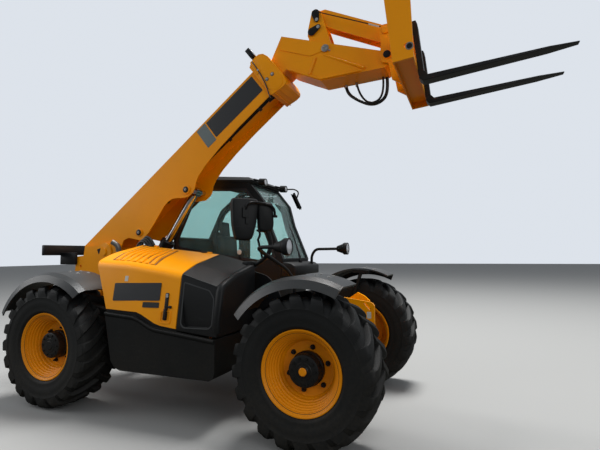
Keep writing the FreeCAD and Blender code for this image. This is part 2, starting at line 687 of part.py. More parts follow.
def front_pod():
    # y and z of each corner at the back and at the front of the pod
    x0 = BONNET_FRONT_X + POD_GAP
    inner = BULKHEAD_Y - SEAT_GAP
    back = [(x0, inner, 800), (x0, inner, 1512), (x0, -760, 1425), (x0, -985, 1336),
            (x0, -1060, 872), (x0, -1060, 800)]
    front = [(POD_FRONT_X, inner, 800), (POD_FRONT_X, inner, 1410), (POD_FRONT_X, -740, 1318),
             (POD_FRONT_X, -975, 1215), (POD_FRONT_X, -1040, 872), (POD_FRONT_X, -1040, 800)]
    solid = loft([back, front])
    low = slab([(0, 700), (0, 870), (-111, 872), (BONNET_FRONT_X, 841), (700, 781), (700, 700)], -1200, -300)
    inset = slab(POD_INSET, -1080, -1018)
    return solid.cut(low).cut(inset)


def inset_face(points, distance):
    return polygon(points, "y").makeOffset2D(-distance)


def thick(face, y0, y1):
    copy = face.copy()
    copy.translate(V(0, y0, 0))
    return copy.extrude(V(0, y1 - y0, 0))


def grown(points, distance):
    return polygon(points, "y").makeOffset2D(distance)


def cab_frame():
    shell = thick(polygon(CAB_PROFILE, "y"), CAB_IN_Y, CAB_OUT_Y)
    room = thick(inset_face(CAB_PROFILE, CAB_WALL), CAB_IN_Y + CAB_WALL, CAB_OUT_Y - CAB_WALL)
    right = thick(polygon(RIGHT_WINDOW, "y"), CAB_IN_Y - 5, CAB_IN_Y + CAB_WALL + 5)
    door = thick(grown(DOOR_OUTLINE, DOOR_GAP), CAB_OUT_Y - CAB_WALL - 5, CAB_OUT_Y + 5)
    quarter = thick(polygon(REAR_SIDE_WINDOW, "y"), CAB_OUT_Y - CAB_WALL - 5, CAB_OUT_Y + 5)
    y0 = CAB_IN_Y + 55
    y1 = CAB_OUT_Y - 55
    front = slab(strip(FRONT_LINE, -60, 70), y0, y1)
    rear = slab(strip(REAR_LINE, -60, 70), y0, y1)
    top = box(-340, 130, y0, y1, 2250, 2500)
    return shell.cut([room, right, door, quarter, front, rear, top])


def strip(points, low, high):
    # a band beside a line of points, between two distances to its left
    def shifted(distance):
        out = []
        for index, (x, z) in enumerate(points):
            before = points[max(index - 1, 0)]
            after = points[min(index + 1, len(points) - 1)]
            dx = after[0] - before[0]
            dz = after[1] - before[1]
            size = math.hypot(dx, dz)
            out.append((x - distance * dz / size, z + distance * dx / size))
        return out

    return shifted(low) + shifted(high)[::-1]


def cab_glass():
    mid = CAB_WALL / 2
    y0 = CAB_IN_Y + 55 + GLASS_GAP
    y1 = CAB_OUT_Y - 55 - GLASS_GAP
    panes = [slab(strip(FRONT_LINE, mid - GLASS_T / 2, mid + GLASS_T / 2), y0, y1),
             slab(strip(REAR_LINE, mid - GLASS_T / 2, mid + GLASS_T / 2), y0, y1),
             thick(inset_face(RIGHT_WINDOW, GLASS_GAP), CAB_IN_Y + 10, CAB_IN_Y + 10 + GLASS_T),
             thick(inset_face(REAR_SIDE_WINDOW, GLASS_GAP), CAB_OUT_Y - 10 - GLASS_T, CAB_OUT_Y - 10)]
    return Part.makeCompound(panes)


def cab_roof():
    fall = (2362.0 - 2400.0) / (170.0 + 380.0)
    seat = [(x, 2400 + (x + 380) * fall + SEAT_GAP) for x in (-380, 185)]
    low = [(seat[0][0], CAB_IN_Y - 4, seat[0][1]), (seat[1][0], CAB_IN_Y - 4, seat[1][1]),
           (seat[1][0], CAB_OUT_Y + 4, seat[1][1]), (seat[0][0], CAB_OUT_Y + 4, seat[0][1])]
    mid = [(-470, CAB_IN_Y - 2, 2402 + 40), (205, CAB_IN_Y - 2, 2395), (205, CAB_OUT_Y + 2, 2395),
           (-470, CAB_OUT_Y + 2, 2402 + 40)]
    top = [(-400, CAB_IN_Y + 60, 2402 + CAB_ROOF_T), (120, CAB_IN_Y + 60, 2364 + CAB_ROOF_T - 8),
           (120, CAB_OUT_Y - 60, 2364 + CAB_ROOF_T - 8), (-400, CAB_OUT_Y - 60, 2402 + CAB_ROOF_T)]
    return join([loft([low, mid]), loft([mid, top])])


def door_frame():
    leaf = thick(polygon(DOOR_OUTLINE, "y"), CAB_OUT_Y - DOOR_T, CAB_OUT_Y)
    hole = thick(polygon(DOOR_WINDOW, "y"), CAB_OUT_Y - DOOR_T - 5, CAB_OUT_Y + 5)
    handle = join([box(360, 440, CAB_OUT_Y, CAB_OUT_Y + 30, 1080, 1100)])
    barrels = []
    for z in (1000, 1900):
        barrels.append(rod((DOOR_HINGE_X, DOOR_HINGE_Y, z), (DOOR_HINGE_X, DOOR_HINGE_Y, z + 80), HINGE_R))
    tabs = []
    for z in (1000, 1900):
        tabs.append(box(DOOR_HINGE_X, -300, CAB_OUT_Y + 2, DOOR_HINGE_Y + 4, z, z + 80))
        tabs.append(box(-345, -300, CAB_OUT_Y - 2, DOOR_HINGE_Y, z, z + 80))
    return join([leaf.cut(hole), handle] + barrels + tabs)


def door_glass():
    return thick(inset_face(DOOR_WINDOW, GLASS_GAP), CAB_OUT_Y - 20, CAB_OUT_Y - 20 + GLASS_T)


def hinge_posts():
    posts = []
    for z in (1080 + SEAT_GAP, 1980 + SEAT_GAP):
        posts.append(rod((DOOR_HINGE_X, DOOR_HINGE_Y, z), (DOOR_HINGE_X, DOOR_HINGE_Y, z + 40), HINGE_R))
        posts.append(box(DOOR_HINGE_X - 40, DOOR_HINGE_X, CAB_OUT_Y - 6, DOOR_HINGE_Y + 6, z, z + 40))
    return posts


def front_cowl():
    body = slab(COWL_OUTLINE, CAB_IN_Y, CAB_OUT_Y - 20)
    frame_side = thick(grown(CAB_PROFILE, SEAT_GAP), CAB_IN_Y - 10, CAB_OUT_Y + 10)
    return body.cut(frame_side)


def console():
    floor = CAB_FLOOR_Z + CAB_WALL + SEAT_GAP
    dash = slab([(360, floor), (500, floor), (505, 1330), (380, 1400), (300, 1330), (360, 1200)], 420, 960)
    column = rod((340, 690, 1250), (245, 690, 1450), 32)
    wheel_axis = V(-90, 0, 190)
    outer = Part.makeCylinder(190, 24, V(250, 690, 1440), wheel_axis)
    hole = Part.makeCylinder(166, 60, V(260, 690, 1420), wheel_axis)
    spoke = Part.makeBox(350, 34, 12)
    spoke.translate(V(-175, -17, 6))
    turn = FreeCAD.Rotation(V(0, 0, 1), wheel_axis)
    spoke.Placement = FreeCAD.Placement(V(250, 690, 1440), turn).multiply(spoke.Placement)
    side = box(-420, 260, CAB_IN_Y + CAB_WALL + SEAT_GAP, CAB_IN_Y + 160, floor, 1150)
    return join([dash, column, outer.cut(hole), spoke, side])


def seat_base():
    floor = CAB_FLOOR_Z + CAB_WALL + SEAT_GAP
    base = box(SEAT_X + 20, SEAT_X + 400, SEAT_Y0 + 40, SEAT_Y1 - 40, floor, 1060)
    back = slab([(SEAT_X - 60, 1060), (SEAT_X + 20, 1060), (SEAT_X - 40, 1800), (SEAT_X - 80, 1800)],
                SEAT_Y0 + 40, SEAT_Y1 - 40)
    foot = box(SEAT_X - 60, SEAT_X + 40, SEAT_Y0 + 40, SEAT_Y1 - 40, 1030, 1060)
    return join([base, back, foot])


def seat_cushion():
    rows = [(SEAT_X + 32, 1060 + SEAT_GAP), (SEAT_X + 470, 1060 + SEAT_GAP), (SEAT_X + 470, 1175),
            (SEAT_X + 26, 1155)]
    return slab(rows, SEAT_Y0, SEAT_Y1)


def seat_back():
    lean = 60.0 / 740.0
    z0 = 1160.0
    x0 = SEAT_X + 20 - (z0 - 1060) * lean + SEAT_GAP * 2
    x1 = x0 - 620 * lean
    rows = [(x0, z0), (x0 + 95, z0), (x1 + 85, z0 + 620), (x1, z0 + 620)]
    rest = [(x1 + 6, z0 + 632), (x1 + 84, z0 + 632), (x1 + 76, z0 + 800), (x1 - 6, z0 + 800)]
    cushion = slab(rows, SEAT_Y0 + 10, SEAT_Y1 - 10)
    neck = box(x1 + 20, x1 + 60, 660, 740, z0 + 610, z0 + 640)
    return join([cushion, slab(rest, 590, 810), neck])


def left_step_box():
    top = STEP_TOP_Z - SEAT_GAP
    rows = [(-560, 520), (-480, STEP_LOW_Z), (500, STEP_LOW_Z), (548, 500), (548, top), (-580, top)]
    body = slab(rows, 310 + 20, 1085)
    recess = box(-60, 420, 900, 1100, 500, 640)
    return body.cut(recess)


def turned_z(shape, x, y, angle):
    shape.rotate(V(x, y, 0), V(0, 0, 1), angle)
    return shape


def mirrors():
    # two housings on one bracket, both turned towards the driver
    head = slab(MIRROR_OUTLINE, -640, -578)
    second = slab(SECOND_MIRROR_OUTLINE, -500, -452)
    head = turned_z(head, 600, -610, MIRROR_TURN)
    second = turned_z(second, 695, -480, MIRROR_TURN)
    foot = (600, -600, 1340)
    stem = rod(foot, (640, -560, 1700), 13)
    link = rod((610, -590, 1830), (700, -476, 1860), 12)
    base = box(540, 640, -640, -560, 1300, 1420)
    return join([head, second, stem, link, base]).cut(moved(front_pod(), 0, 0, SEAT_GAP))


def left_mirror():
    blade = slab(LEFT_MIRROR_OUTLINE, 905, 1075)
    head = turned_z(blade, 487, 990, LEFT_MIRROR_TURN)
    route = [(150, 1012, 2385), (300, 1014, 2372), (440, 1014, 2368), (508, 1008, 2325), (474, 1000, 2235)]
    return join([head, tube(route, 9)]).cut(cab_roof())


def work_lamps():
    lamps = []
    for y in WORK_LAMP_Y:
        can = rod((270, y, 2372), (345, y, 2366), WORK_LAMP_R)
        arm = rod((300, y, 2380), (185, y, 2412), 12)
        lamps.append(join([can, arm]))
    return Part.makeCompound(lamps).cut(cab_roof())


def headlamp_can(y):
    # a cone behind a round drum, open face forward
    cone = Part.makeCone(LAMP_BACK_R, LAMP_R, LAMP_CONE_L, V(LAMP_X, y, LAMP_Z), V(1, 0, 0))
    start = LAMP_X + LAMP_CONE_L - 1
    drum = rod((start, y, LAMP_Z), (LAMP_X + LAMP_CONE_L + LAMP_DRUM_L, y, LAMP_Z), LAMP_R + 3)
    neck = rod((LAMP_X + 20, y, LAMP_Z), (LAMP_X + 60, y, LAMP_Z), LAMP_BACK_R + 4)
    return [cone, drum, neck]


def headlamps():
    side = -(RAIL_Y + RAIL_T)
    near = tube([(980, side - 19, 900), (985, side - 26, 1240), (960, -420, 1360), (840, -700, 1525),
                 (860, -850, 1570),
                 (LAMP_X + 40, -LAMP_Y, LAMP_Z)], LAMP_ARM_R)
    far = tube([(719, 900, 1300), (719, 900, 1490), (775, 900, LAMP_Z - 2), (LAMP_X + 40, LAMP_Y, LAMP_Z)],
               LAMP_ARM_R)
    plate = box(940, 1020, side - 27, side - SEAT_GAP, 860, 940)
    left = join([far] + headlamp_can(LAMP_Y)).cut(front_cowl())
    outside = sorted(left.Solids, key=lambda solid: solid.Volume)[-1]
    return Part.makeCompound([join([near, plate] + headlamp_can(-LAMP_Y)), outside])


def rear_lamp_bar():
    bar = box(-2315, -2262, -490, 490, 1512, 1640)
    inner = TOWER_Y + TOWER_T + SEAT_GAP
    arms = both_sides(box(-2262, -2000, inner, inner + 30, 1395, 1545))
    return join([bar] + arms)


def rear_hitch():
    x0 = -2260.0
    x1 = CHASSIS_REAR - SEAT_GAP
    back = box(x1 - 40, x1, -130, 130, 570, 860)
    jaws = [box(x0, x1 - 20, -90, 90, z, z + 40) for z in (620, 780)]
    hole = rod((x0 + 70, 0, 600), (x0 + 70, 0, 840), 20)
    return join([back] + jaws).cut(hole)


def exhaust_stub():
    y = -TOWER_Y - TOWER_T - EXHAUST_R - 4
    route = [(EXHAUST_X, y, RAIL_TOP + SEAT_GAP), (EXHAUST_X, y, 1530), (EXHAUST_X, y - 20, 1625),
             (EXHAUST_X - 62, y - 50, 1668)]
    return tube(route, EXHAUST_R)


# Boom


def outer_side():
    rows = [(BOOM_TAIL_U, BOOM_TOP), (BOOM_END_U, BOOM_TOP), (BOOM_END_U, -52)] + BOOM_LOWER_EDGE
    rows += [(130, -PIVOT_BOSS_R - 8), (-120, -PIVOT_BOSS_R - 8), (BOOM_TAIL_U, -20)]
    plate = slab(boom_points(rows), BOOM_HALF_W - BOOM_WALL, BOOM_HALF_W)
    x, z = boom_point(LIFT_PIN_U, LIFT_PIN_W)
    head = cross_pin(x, z, EAR_HEAD_R, BOOM_HALF_W - 2, BOOM_HALF_W + EAR_HEAD_T)
    x2, z2 = boom_point(SPARE_PIN_U, SPARE_PIN_W)
    spare = cross_pin(x2, z2, EAR_HEAD_R - 8, BOOM_HALF_W - 2, BOOM_HALF_W + EAR_HEAD_T)
    pivot = cross_pin(PIVOT_X, PIVOT_Z, PIVOT_BOSS_R, BOOM_HALF_W - 2, TOWER_Y - SEAT_GAP)
    return [plate, head, spare, pivot]


def outer_boom():
    half = BOOM_HALF_W - BOOM_WALL / 2
    top = boom_block(BOOM_TAIL_U, BOOM_END_U, BOOM_TOP - BOOM_LID_T, BOOM_TOP, half)
    low = boom_block(FLOOR_START_U, BOOM_END_U, FLOOR_W, FLOOR_W + FLOOR_T, half)
    cross = cross_pin(PIVOT_X, PIVOT_Z, PIVOT_BOSS_R - 40, -half, half)
    collar = slab(boom_points(COLLAR_OUTLINE), -COLLAR_HALF_W, COLLAR_HALF_W)
    bore = boom_block(BOOM_END_U - 100, COLLAR_END_U + 100, INNER_LOW_W - PAD_GAP, INNER_TOP_W + PAD_GAP,
                      INNER_HALF_W + PAD_GAP)
    sides = []
    for piece in outer_side():
        sides += both_sides(piece)
    return join(sides + [top, low, cross, collar.cut(bore)])


def boom_pipes():
    # steel pipes clipped side by side under the outer boom's floor
    w = FLOOR_W - PIPE_R - 4
    pipes = []
    for y in PIPE_YS:
        x0, z0 = boom_point(PIPE_START_U, w)
        x1, z1 = boom_point(PIPE_END_U, w)
        pipes.append(rod((x0, y, z0), (x1, y, z1), PIPE_R))
    clips = []
    for u in PIPE_CLIP_US:
        low = w - PIPE_R - 5
        top = FLOOR_W - SEAT_GAP
        corners = boom_points([(u, low), (u + 36, low), (u + 36, top), (u, top)])
        clips.append(slab(corners, min(PIPE_YS) - 2 * PIPE_R, max(PIPE_YS) + 2 * PIPE_R))
    return join(pipes + clips)


def inner_boom():
    end_u = COLLAR_END_U + 70
    wall = INNER_WALL
    outer = boom_block(INNER_TAIL_U, end_u, INNER_LOW_W, INNER_TOP_W, INNER_HALF_W)
    hollow = boom_block(INNER_TAIL_U - 50, end_u + 60, INNER_LOW_W + wall, INNER_TOP_W - wall,
                        INNER_HALF_W - wall)
    nose = slab(NOSE_OUTLINE, -INNER_HALF_W, INNER_HALF_W)
    flat = polygon(NOSE_OUTLINE, "y").makeOffset2D(-NOSE_PLATE_T)
    room = thick(flat, -INNER_HALF_W + NOSE_PLATE_T, INNER_HALF_W - NOSE_PLATE_T)
    behind = boom_block(COLLAR_END_U - 105, COLLAR_END_U + 6, INNER_LOW_W - 200, 500, 300)
    mouth = slab(NOSE_MOUTH, -INNER_HALF_W + NOSE_PLATE_T, INNER_HALF_W - NOSE_PLATE_T)
    shell = nose.cut(room).cut(mouth).cut(behind)
    body = outer.fuse(shell).cut(hollow)
    boss = cross_pin(NOSE_PIN_X, NOSE_PIN_Z, NOSE_BOSS_R, -INNER_HALF_W - 4, INNER_HALF_W + 4)
    lever_boss = cross_pin(LEVER_PIN_X, LEVER_PIN_Z, LEVER_PIN_R, -INNER_HALF_W - 14, INNER_HALF_W + 14)
    bx, bz = boom_point(TILT_BASE_U, TILT_BASE_W)
    base_pin = cross_pin(bx, bz, 26, -INNER_HALF_W + 6, INNER_HALF_W - 6)
    pads = []
    low_pad = (FLOOR_W + FLOOR_T + PAD_GAP, INNER_LOW_W + 2)
    high_pad = (INNER_TOP_W - 2, BOOM_TOP - BOOM_LID_T - PAD_GAP)
    for w0, w1 in (low_pad, high_pad):
        pads.append(boom_block(INNER_TAIL_U, INNER_TAIL_U + PAD_L, w0, w1, PAD_HALF_W))
    return join([body, boss, lever_boss, base_pin] + pads + nose_facets())


def nose_facets():
    facets = []
    for corners, (start, end) in ((NOSE_BAND, NOSE_BAND_EDGE), (NOSE_GUSSET, NOSE_GUSSET_EDGE)):
        length = math.hypot(end[0] - start[0], end[1] - start[1])
        base = []
        face = []
        for x, z in corners:
            across = (end[0] - start[0]) * (z - start[1]) - (end[1] - start[1]) * (x - start[0])
            base.append((x, INNER_HALF_W - 2, z))
            face.append((x, INNER_HALF_W + abs(across) / length * BAND_RISE, z))
        facets += both_sides(loft([base, face]))
    return facets


def nose_floor(x):
    # the height of the nose's underside
    (x1, z1), (x0, z0) = NOSE_FRONT_LOW, NOSE_BEND_LOW
    return z0 + (z1 - z0) * (x - x0) / (x1 - x0)


def nose_hoses():
    start = (HOSE_START_X, nose_floor(HOSE_START_X - HOSE_R) - SEAT_GAP)
    end = (HOSE_END_X, nose_floor(HOSE_END_X - HOSE_R) - SEAT_GAP)
    return tube([(x, HOSE_Y, z) for x, z in [start] + HOSE_BENDS + [end]], HOSE_R)


# Lever, link and rams

def lever_plate():
    around = ((LEVER_PIN_X, LEVER_PIN_Z, ((62, 28), (52, -52), (-40, -57))),
              (LEVER_MID_X, LEVER_MID_Z, ((-11, -133), (-51, -33), (-46, 37))),
              (LEVER_TOP_X, LEVER_TOP_Z, ((-55, -12), (-43, 40), (0, 56), (52, 18))))
    rows = [(x + dx, z + dz) for x, z, offsets in around for dx, dz in offsets]
    return slab(rows, LEVER_Y, LEVER_Y + LEVER_T)


def tilt_lever():
    plates = both_sides(lever_plate())
    hub = cross_pin(LEVER_PIN_X, LEVER_PIN_Z, LEVER_PIN_R + 12, -LEVER_Y - LEVER_T - 8, LEVER_Y + LEVER_T + 8)
    bore = cross_pin(LEVER_PIN_X, LEVER_PIN_Z, LEVER_PIN_R + PIN_GAP, -200, 200)
    top = cross_pin(LEVER_TOP_X, LEVER_TOP_Z, LEVER_PIN_R, -LEVER_Y - LEVER_T - 12, LEVER_Y + LEVER_T + 12)
    heads = both_sides(cross_pin(LEVER_MID_X, LEVER_MID_Z, LEVER_PIN_R, LEVER_Y, LEVER_Y + LEVER_T + 12))
    return join(plates + [hub]).cut(bore).fuse([top] + heads).removeSplitter()


def tilt_link():
    length = math.hypot(LINK_PIN_X - LEVER_TOP_X, LINK_PIN_Z - LEVER_TOP_Z)
    angle = math.degrees(math.atan2(LINK_PIN_Z - LEVER_TOP_Z, LINK_PIN_X - LEVER_TOP_X))
    rows = [
        (0, 46), (60, LINK_HALF_H), (length - 60, LINK_HALF_H), (length, 50), (length + 46, 20),
        (length + 46, -36), (length, -54), (length - 60, -LINK_HALF_H), (170, -LINK_HALF_H), (90, -58),
        (0, -46),
    ]
    body = slab(rows, -LINK_HALF_W, LINK_HALF_W)
    half = LINK_HALF_W - LINK_WALL
    room = box(-60, length + 100, -half, half, -LINK_HALF_H - 10, LINK_HALF_H - LINK_WALL)
    eyes = [cross_pin(0, 0, LINK_EYE_R, -LINK_HALF_W, LINK_HALF_W)]
    bore = cross_pin(0, 0, LEVER_PIN_R + PIN_GAP, -LINK_HALF_W - 5, LINK_HALF_W + 5)
    far = cross_pin(length, 0, LEVER_PIN_R + 18, -LINK_HALF_W, LINK_HALF_W)
    end = LOBE_Y - PIN_GAP
    pin = cross_pin(length, 0, LEVER_PIN_R, -end, end)
    shape = join([body.cut(room), far, pin] + eyes).cut(bore)
    return ram_along(shape, LEVER_TOP_X, LEVER_TOP_Z, angle)


def ram_barrel(radius, length, eye_r, eye_half, pin_r, rod_r):
    eye = cross_pin(0, 0, eye_r, -eye_half, eye_half)
    can = rod((eye_r * 0.6, 0, 0), (length, 0, 0), radius)
    gland = rod((length - 50, 0, 0), (length, 0, 0), radius + 6)
    bore = rod((eye_r + 20, 0, 0), (length + 5, 0, 0), rod_r + RAM_BORE_GAP)
    hole = cross_pin(0, 0, pin_r + PIN_GAP, -eye_half - 60, eye_half + 60)
    return join([eye, can, gland]).cut(bore).cut(hole)


def ram_rod(start, length, rod_r, eye_r, eye_half, pin_r, pin_half):
    bar = rod((start, 0, 0), (length, 0, 0), rod_r)
    eye = cross_pin(length, 0, eye_r, -eye_half, eye_half)
    pin = cross_pin(length, 0, pin_r, -pin_half, pin_half)
    return join([bar, eye, pin])


def lift_line():
    x, z = boom_point(LIFT_PIN_U, LIFT_PIN_W)
    dx = x - LIFT_BASE_X
    dz = z - LIFT_BASE_Z
    return math.hypot(dx, dz), math.degrees(math.atan2(dz, dx))


def tilt_line():
    x, z = boom_point(TILT_BASE_U, TILT_BASE_W)
    dx = LEVER_MID_X - x
    dz = LEVER_MID_Z - z
    return math.hypot(dx, dz), math.degrees(math.atan2(dz, dx))


def lift_barrel():
    angle = lift_line()[1]
    shape = ram_barrel(LIFT_BARREL_R, LIFT_BARREL_L, LIFT_BASE_EYE_R, LIFT_BASE_HALF_W, LIFT_BASE_PIN_R,
                       LIFT_ROD_R)
    return ram_along(shape, LIFT_BASE_X, LIFT_BASE_Z, angle)


def lift_rod():
    length, angle = lift_line()
    pin_half = BOOM_HALF_W - BOOM_WALL - 10
    shape = ram_rod(LIFT_ROD_START, length, LIFT_ROD_R, LIFT_EYE_R, LIFT_EYE_HALF_W, EAR_PIN_R, pin_half)
    return ram_along(shape, LIFT_BASE_X, LIFT_BASE_Z, angle)


def tilt_barrel():
    angle = tilt_line()[1]
    x, z = boom_point(TILT_BASE_U, TILT_BASE_W)
    shape = ram_barrel(TILT_BARREL_R, TILT_BARREL_L, TILT_BASE_EYE_R, TILT_EYE_HALF_W, 26, TILT_ROD_R)
    return ram_along(shape, x, z, angle)


def tilt_rod():
    length, angle = tilt_line()
    x, z = boom_point(TILT_BASE_U, TILT_BASE_W)
    shape = ram_rod(TILT_ROD_START, length, TILT_ROD_R, TILT_EYE_R, TILT_EYE_HALF_W, LEVER_PIN_R - 6,
                    LEVER_Y - PIN_GAP)
    return ram_along(shape, x, z, angle)


# Carriage, fork frame and forks

def frame_point(along, up):
    # along runs forward from the frame's rear face, up runs from its lower edge
    c = math.cos(math.radians(FRAME_LEAN))
    s = math.sin(math.radians(FRAME_LEAN))
    return FRAME_BACK_X + along * c - up * s, FRAME_LOW_Z + along * s + up * c


def frame_points(rows):
    return [frame_point(a, u) for a, u in rows]


def frame_bar(along, up, depth, height, half):
    # a bar right across the frame, by its lower rear edge
    rows = [(along, up), (along + depth, up), (along + depth, up + height), (along, up + height)]
    return slab(frame_points(rows), -half, half)


def carriage():
    back = frame_points([(0, 0), (0, 690)])
    rows = [
        (NOSE_PIN_X - 72, NOSE_PIN_Z - 20), (NOSE_PIN_X - 60, NOSE_PIN_Z + 120),
        (LINK_PIN_X - 62, LINK_PIN_Z), (LINK_PIN_X - 40, LINK_PIN_Z + 62),
        (LINK_PIN_X + 50, LINK_PIN_Z + 66), back[1], back[0],
        (NOSE_PIN_X + 40, NOSE_PIN_Z - 245), (NOSE_PIN_X + 10, NOSE_PIN_Z - 80),
        (NOSE_PIN_X - 50, NOSE_PIN_Z - 62),
    ]
    lobe = slab(rows, LOBE_Y, LOBE_Y + LOBE_T)
    nose_hole = cross_pin(NOSE_PIN_X, NOSE_PIN_Z, LEVER_PIN_R + 2, LOBE_Y - 5, LOBE_Y + LOBE_T + 5)
    pin = cross_pin(NOSE_PIN_X, NOSE_PIN_Z, LEVER_PIN_R + 2, INNER_HALF_W + 4 + PIN_GAP, LOBE_Y + LOBE_T + 16)
    link_pin = cross_pin(LINK_PIN_X, LINK_PIN_Z, LEVER_PIN_R, LOBE_Y, LOBE_Y + LOBE_T + 14)
    plate = frame_bar(-14, 335, 14 - SEAT_GAP, 130, LOBE_Y + 2)
    trim = frame_bar(-SEAT_GAP, -100, 200, 1000, 400)
    sides = both_sides(join([lobe.cut(nose_hole), pin, link_pin]))
    return join(sides + [plate]).cut(trim)


def fork_frame():
    depth = FRAME_DEPTH
    wide = FRAME_TOP_DEPTH
    side = [
        (0, 0), (depth, 0), (wide, 490), (wide, 560), (wide - 36, 600), (wide - 70, 596), (wide - 74, 630),
        (wide - 30, 668), (wide - 42, 770), (24, 800), (0, 700),
    ]
    plate = slab(frame_points(side), FRAME_HALF_W - FRAME_PLATE_T, FRAME_HALF_W)
    hx, hz = frame_point(SIDE_HOLE_ALONG, SIDE_HOLE_UP)
    hole = cross_pin(hx, hz, SIDE_HOLE_R, FRAME_HALF_W - 60, FRAME_HALF_W + 10)
    wall = FRAME_BEAM_WALL
    half = FRAME_HALF_W - 2
    beam = frame_bar(0, 0, depth, FRAME_BEAM_H, half)
    inner = frame_bar(wall, -10, depth - 2 * wall, FRAME_BEAM_H - wall + 10, FRAME_HALF_W + 5)
    bars = [frame_bar(a, u, d, h, half) for a, u, d, h in
            ((depth - 40, FORK_BAR_LOW, 40, FORK_BAR_H), (50, 640, 60, 60), (0, 340, 30, 90))]
    return join(both_sides(plate.cut(hole)) + [beam.cut(inner)] + bars)


def fork():
    # one fork about Y = 0: a shank with a hook on the bar, and a tapered blade
    face = FRAME_DEPTH + FORK_GAP
    out = face + FORK_T
    low = -FORK_HEEL_DROP
    top = FORK_BAR_LOW + FORK_BAR_H
    rows = [
        (face, top + FORK_GAP), (face - 40, top + FORK_GAP), (face - 40, top + 34), (out - 10, top + 34),
        (out, top), (out, low + FORK_T + 40), (out + 30, low + FORK_T), (face + FORK_L, low + FORK_TIP_T),
        (face + FORK_L, low + 4), (out + 250, low), (face + 30, low), (face, low + 34),
    ]
    blade = slab(frame_points(rows), -FORK_HALF_W, FORK_HALF_W)
    cuts = []
    for side in (1, -1):
        p0 = frame_point(face + FORK_L - 240, low)
        p1 = frame_point(face + FORK_L + 20, low)
        outer = side * FORK_HALF_W * 1.05
        corners = [(p0[0], outer), (p1[0], outer), (p1[0], side * FORK_HALF_W * 0.45)]
        cuts.append(slab(corners, p0[1] - 100, p1[1] + 100, "z"))
    return blade.cut(cuts)


# What is written

def chassis_pieces():
    cab = join([cab_frame()] + hinge_posts())
    stub = exhaust_stub()
    return {
        "chassis_frame": chassis_frame(),
        "engine_block": engine_block(),
        "lower_panel": lower_panel(),
        "front_pod": front_pod(),
        "cab_frame": cab,
        "cab_roof": cab_roof(),
        "cab_glass": cab_glass(),
        "front_cowl": front_cowl(),
        "console": console(),
        "seat_base": seat_base(),
        "seat_cushion": seat_cushion(),
        "seat_back": seat_back(),
        "left_step_box": left_step_box(),
        "right_mirrors": mirrors(),
        "left_mirror": left_mirror(),
        "work_lamps": work_lamps(),
        "headlamps": headlamps(),
        "rear_lamp_bar": rear_lamp_bar(),
        "rear_hitch": rear_hitch(),
        "exhaust_stub": stub,
        "bonnet": bonnet(),
        "door_frame": door_frame(),
        "door_glass": door_glass(),
    }


def boom_pieces():
    return {
        "outer_boom": outer_boom(),
        "boom_pipes": boom_pipes(),
        "inner_boom": inner_boom(),
        "nose_hose": nose_hoses(),
        "tilt_lever": tilt_lever(),
        "tilt_link": tilt_link(),
        "tilt_barrel": tilt_barrel(),
        "tilt_rod": tilt_rod(),
        "lift_barrel": lift_barrel(),
        "lift_rod": lift_rod(),
        "carriage": carriage(),
        "fork_frame": fork_frame(),
        "fork_left": moved(fork(), 0, FORK_Y, 0),
        "fork_right": moved(fork(), 0, -FORK_Y, 0),
    }


def wheel_pieces():
    pieces = {}
    for end, x, angles in (("front", AXLE_X, FRONT_GUARD_ANGLES), ("rear", -AXLE_X, REAR_GUARD_ANGLES)):
        pieces[end + "_axle"] = moved(axle(), x, 0, TYRE_R)
        for side, sign in (("left", 1), ("right", -1)):
            made = {"tyre": moved(tyre(), 0, TRACK / 2, 0), "rim": moved(rim(), 0, TRACK / 2, 0),
                    "knuckle": knuckle(), "mudguard": guard(angles)}
            for kind, shape in made.items():
                if sign < 0:
                    shape = shape.mirror(V(0, 0, 0), V(0, 1, 0))
                pieces[kind + "_" + end + "_" + side] = moved(shape, x, 0, TYRE_R)
    return pieces


def write_all():
    pieces = chassis_pieces()
    pieces.update(boom_pieces())
    pieces.update(wheel_pieces())
    for name, shape in pieces.items():
        shape.translate(V(-ORIGIN_X, 0, 0))
        shape.exportStep("parts/" + name + ".step")
        print(name, len(shape.Solids), shape.isValid(), round(shape.Volume / 1e6, 1))


write_all()
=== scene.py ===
import json
import math
import bmesh
import bpy
from mathutils import Matrix, Vector

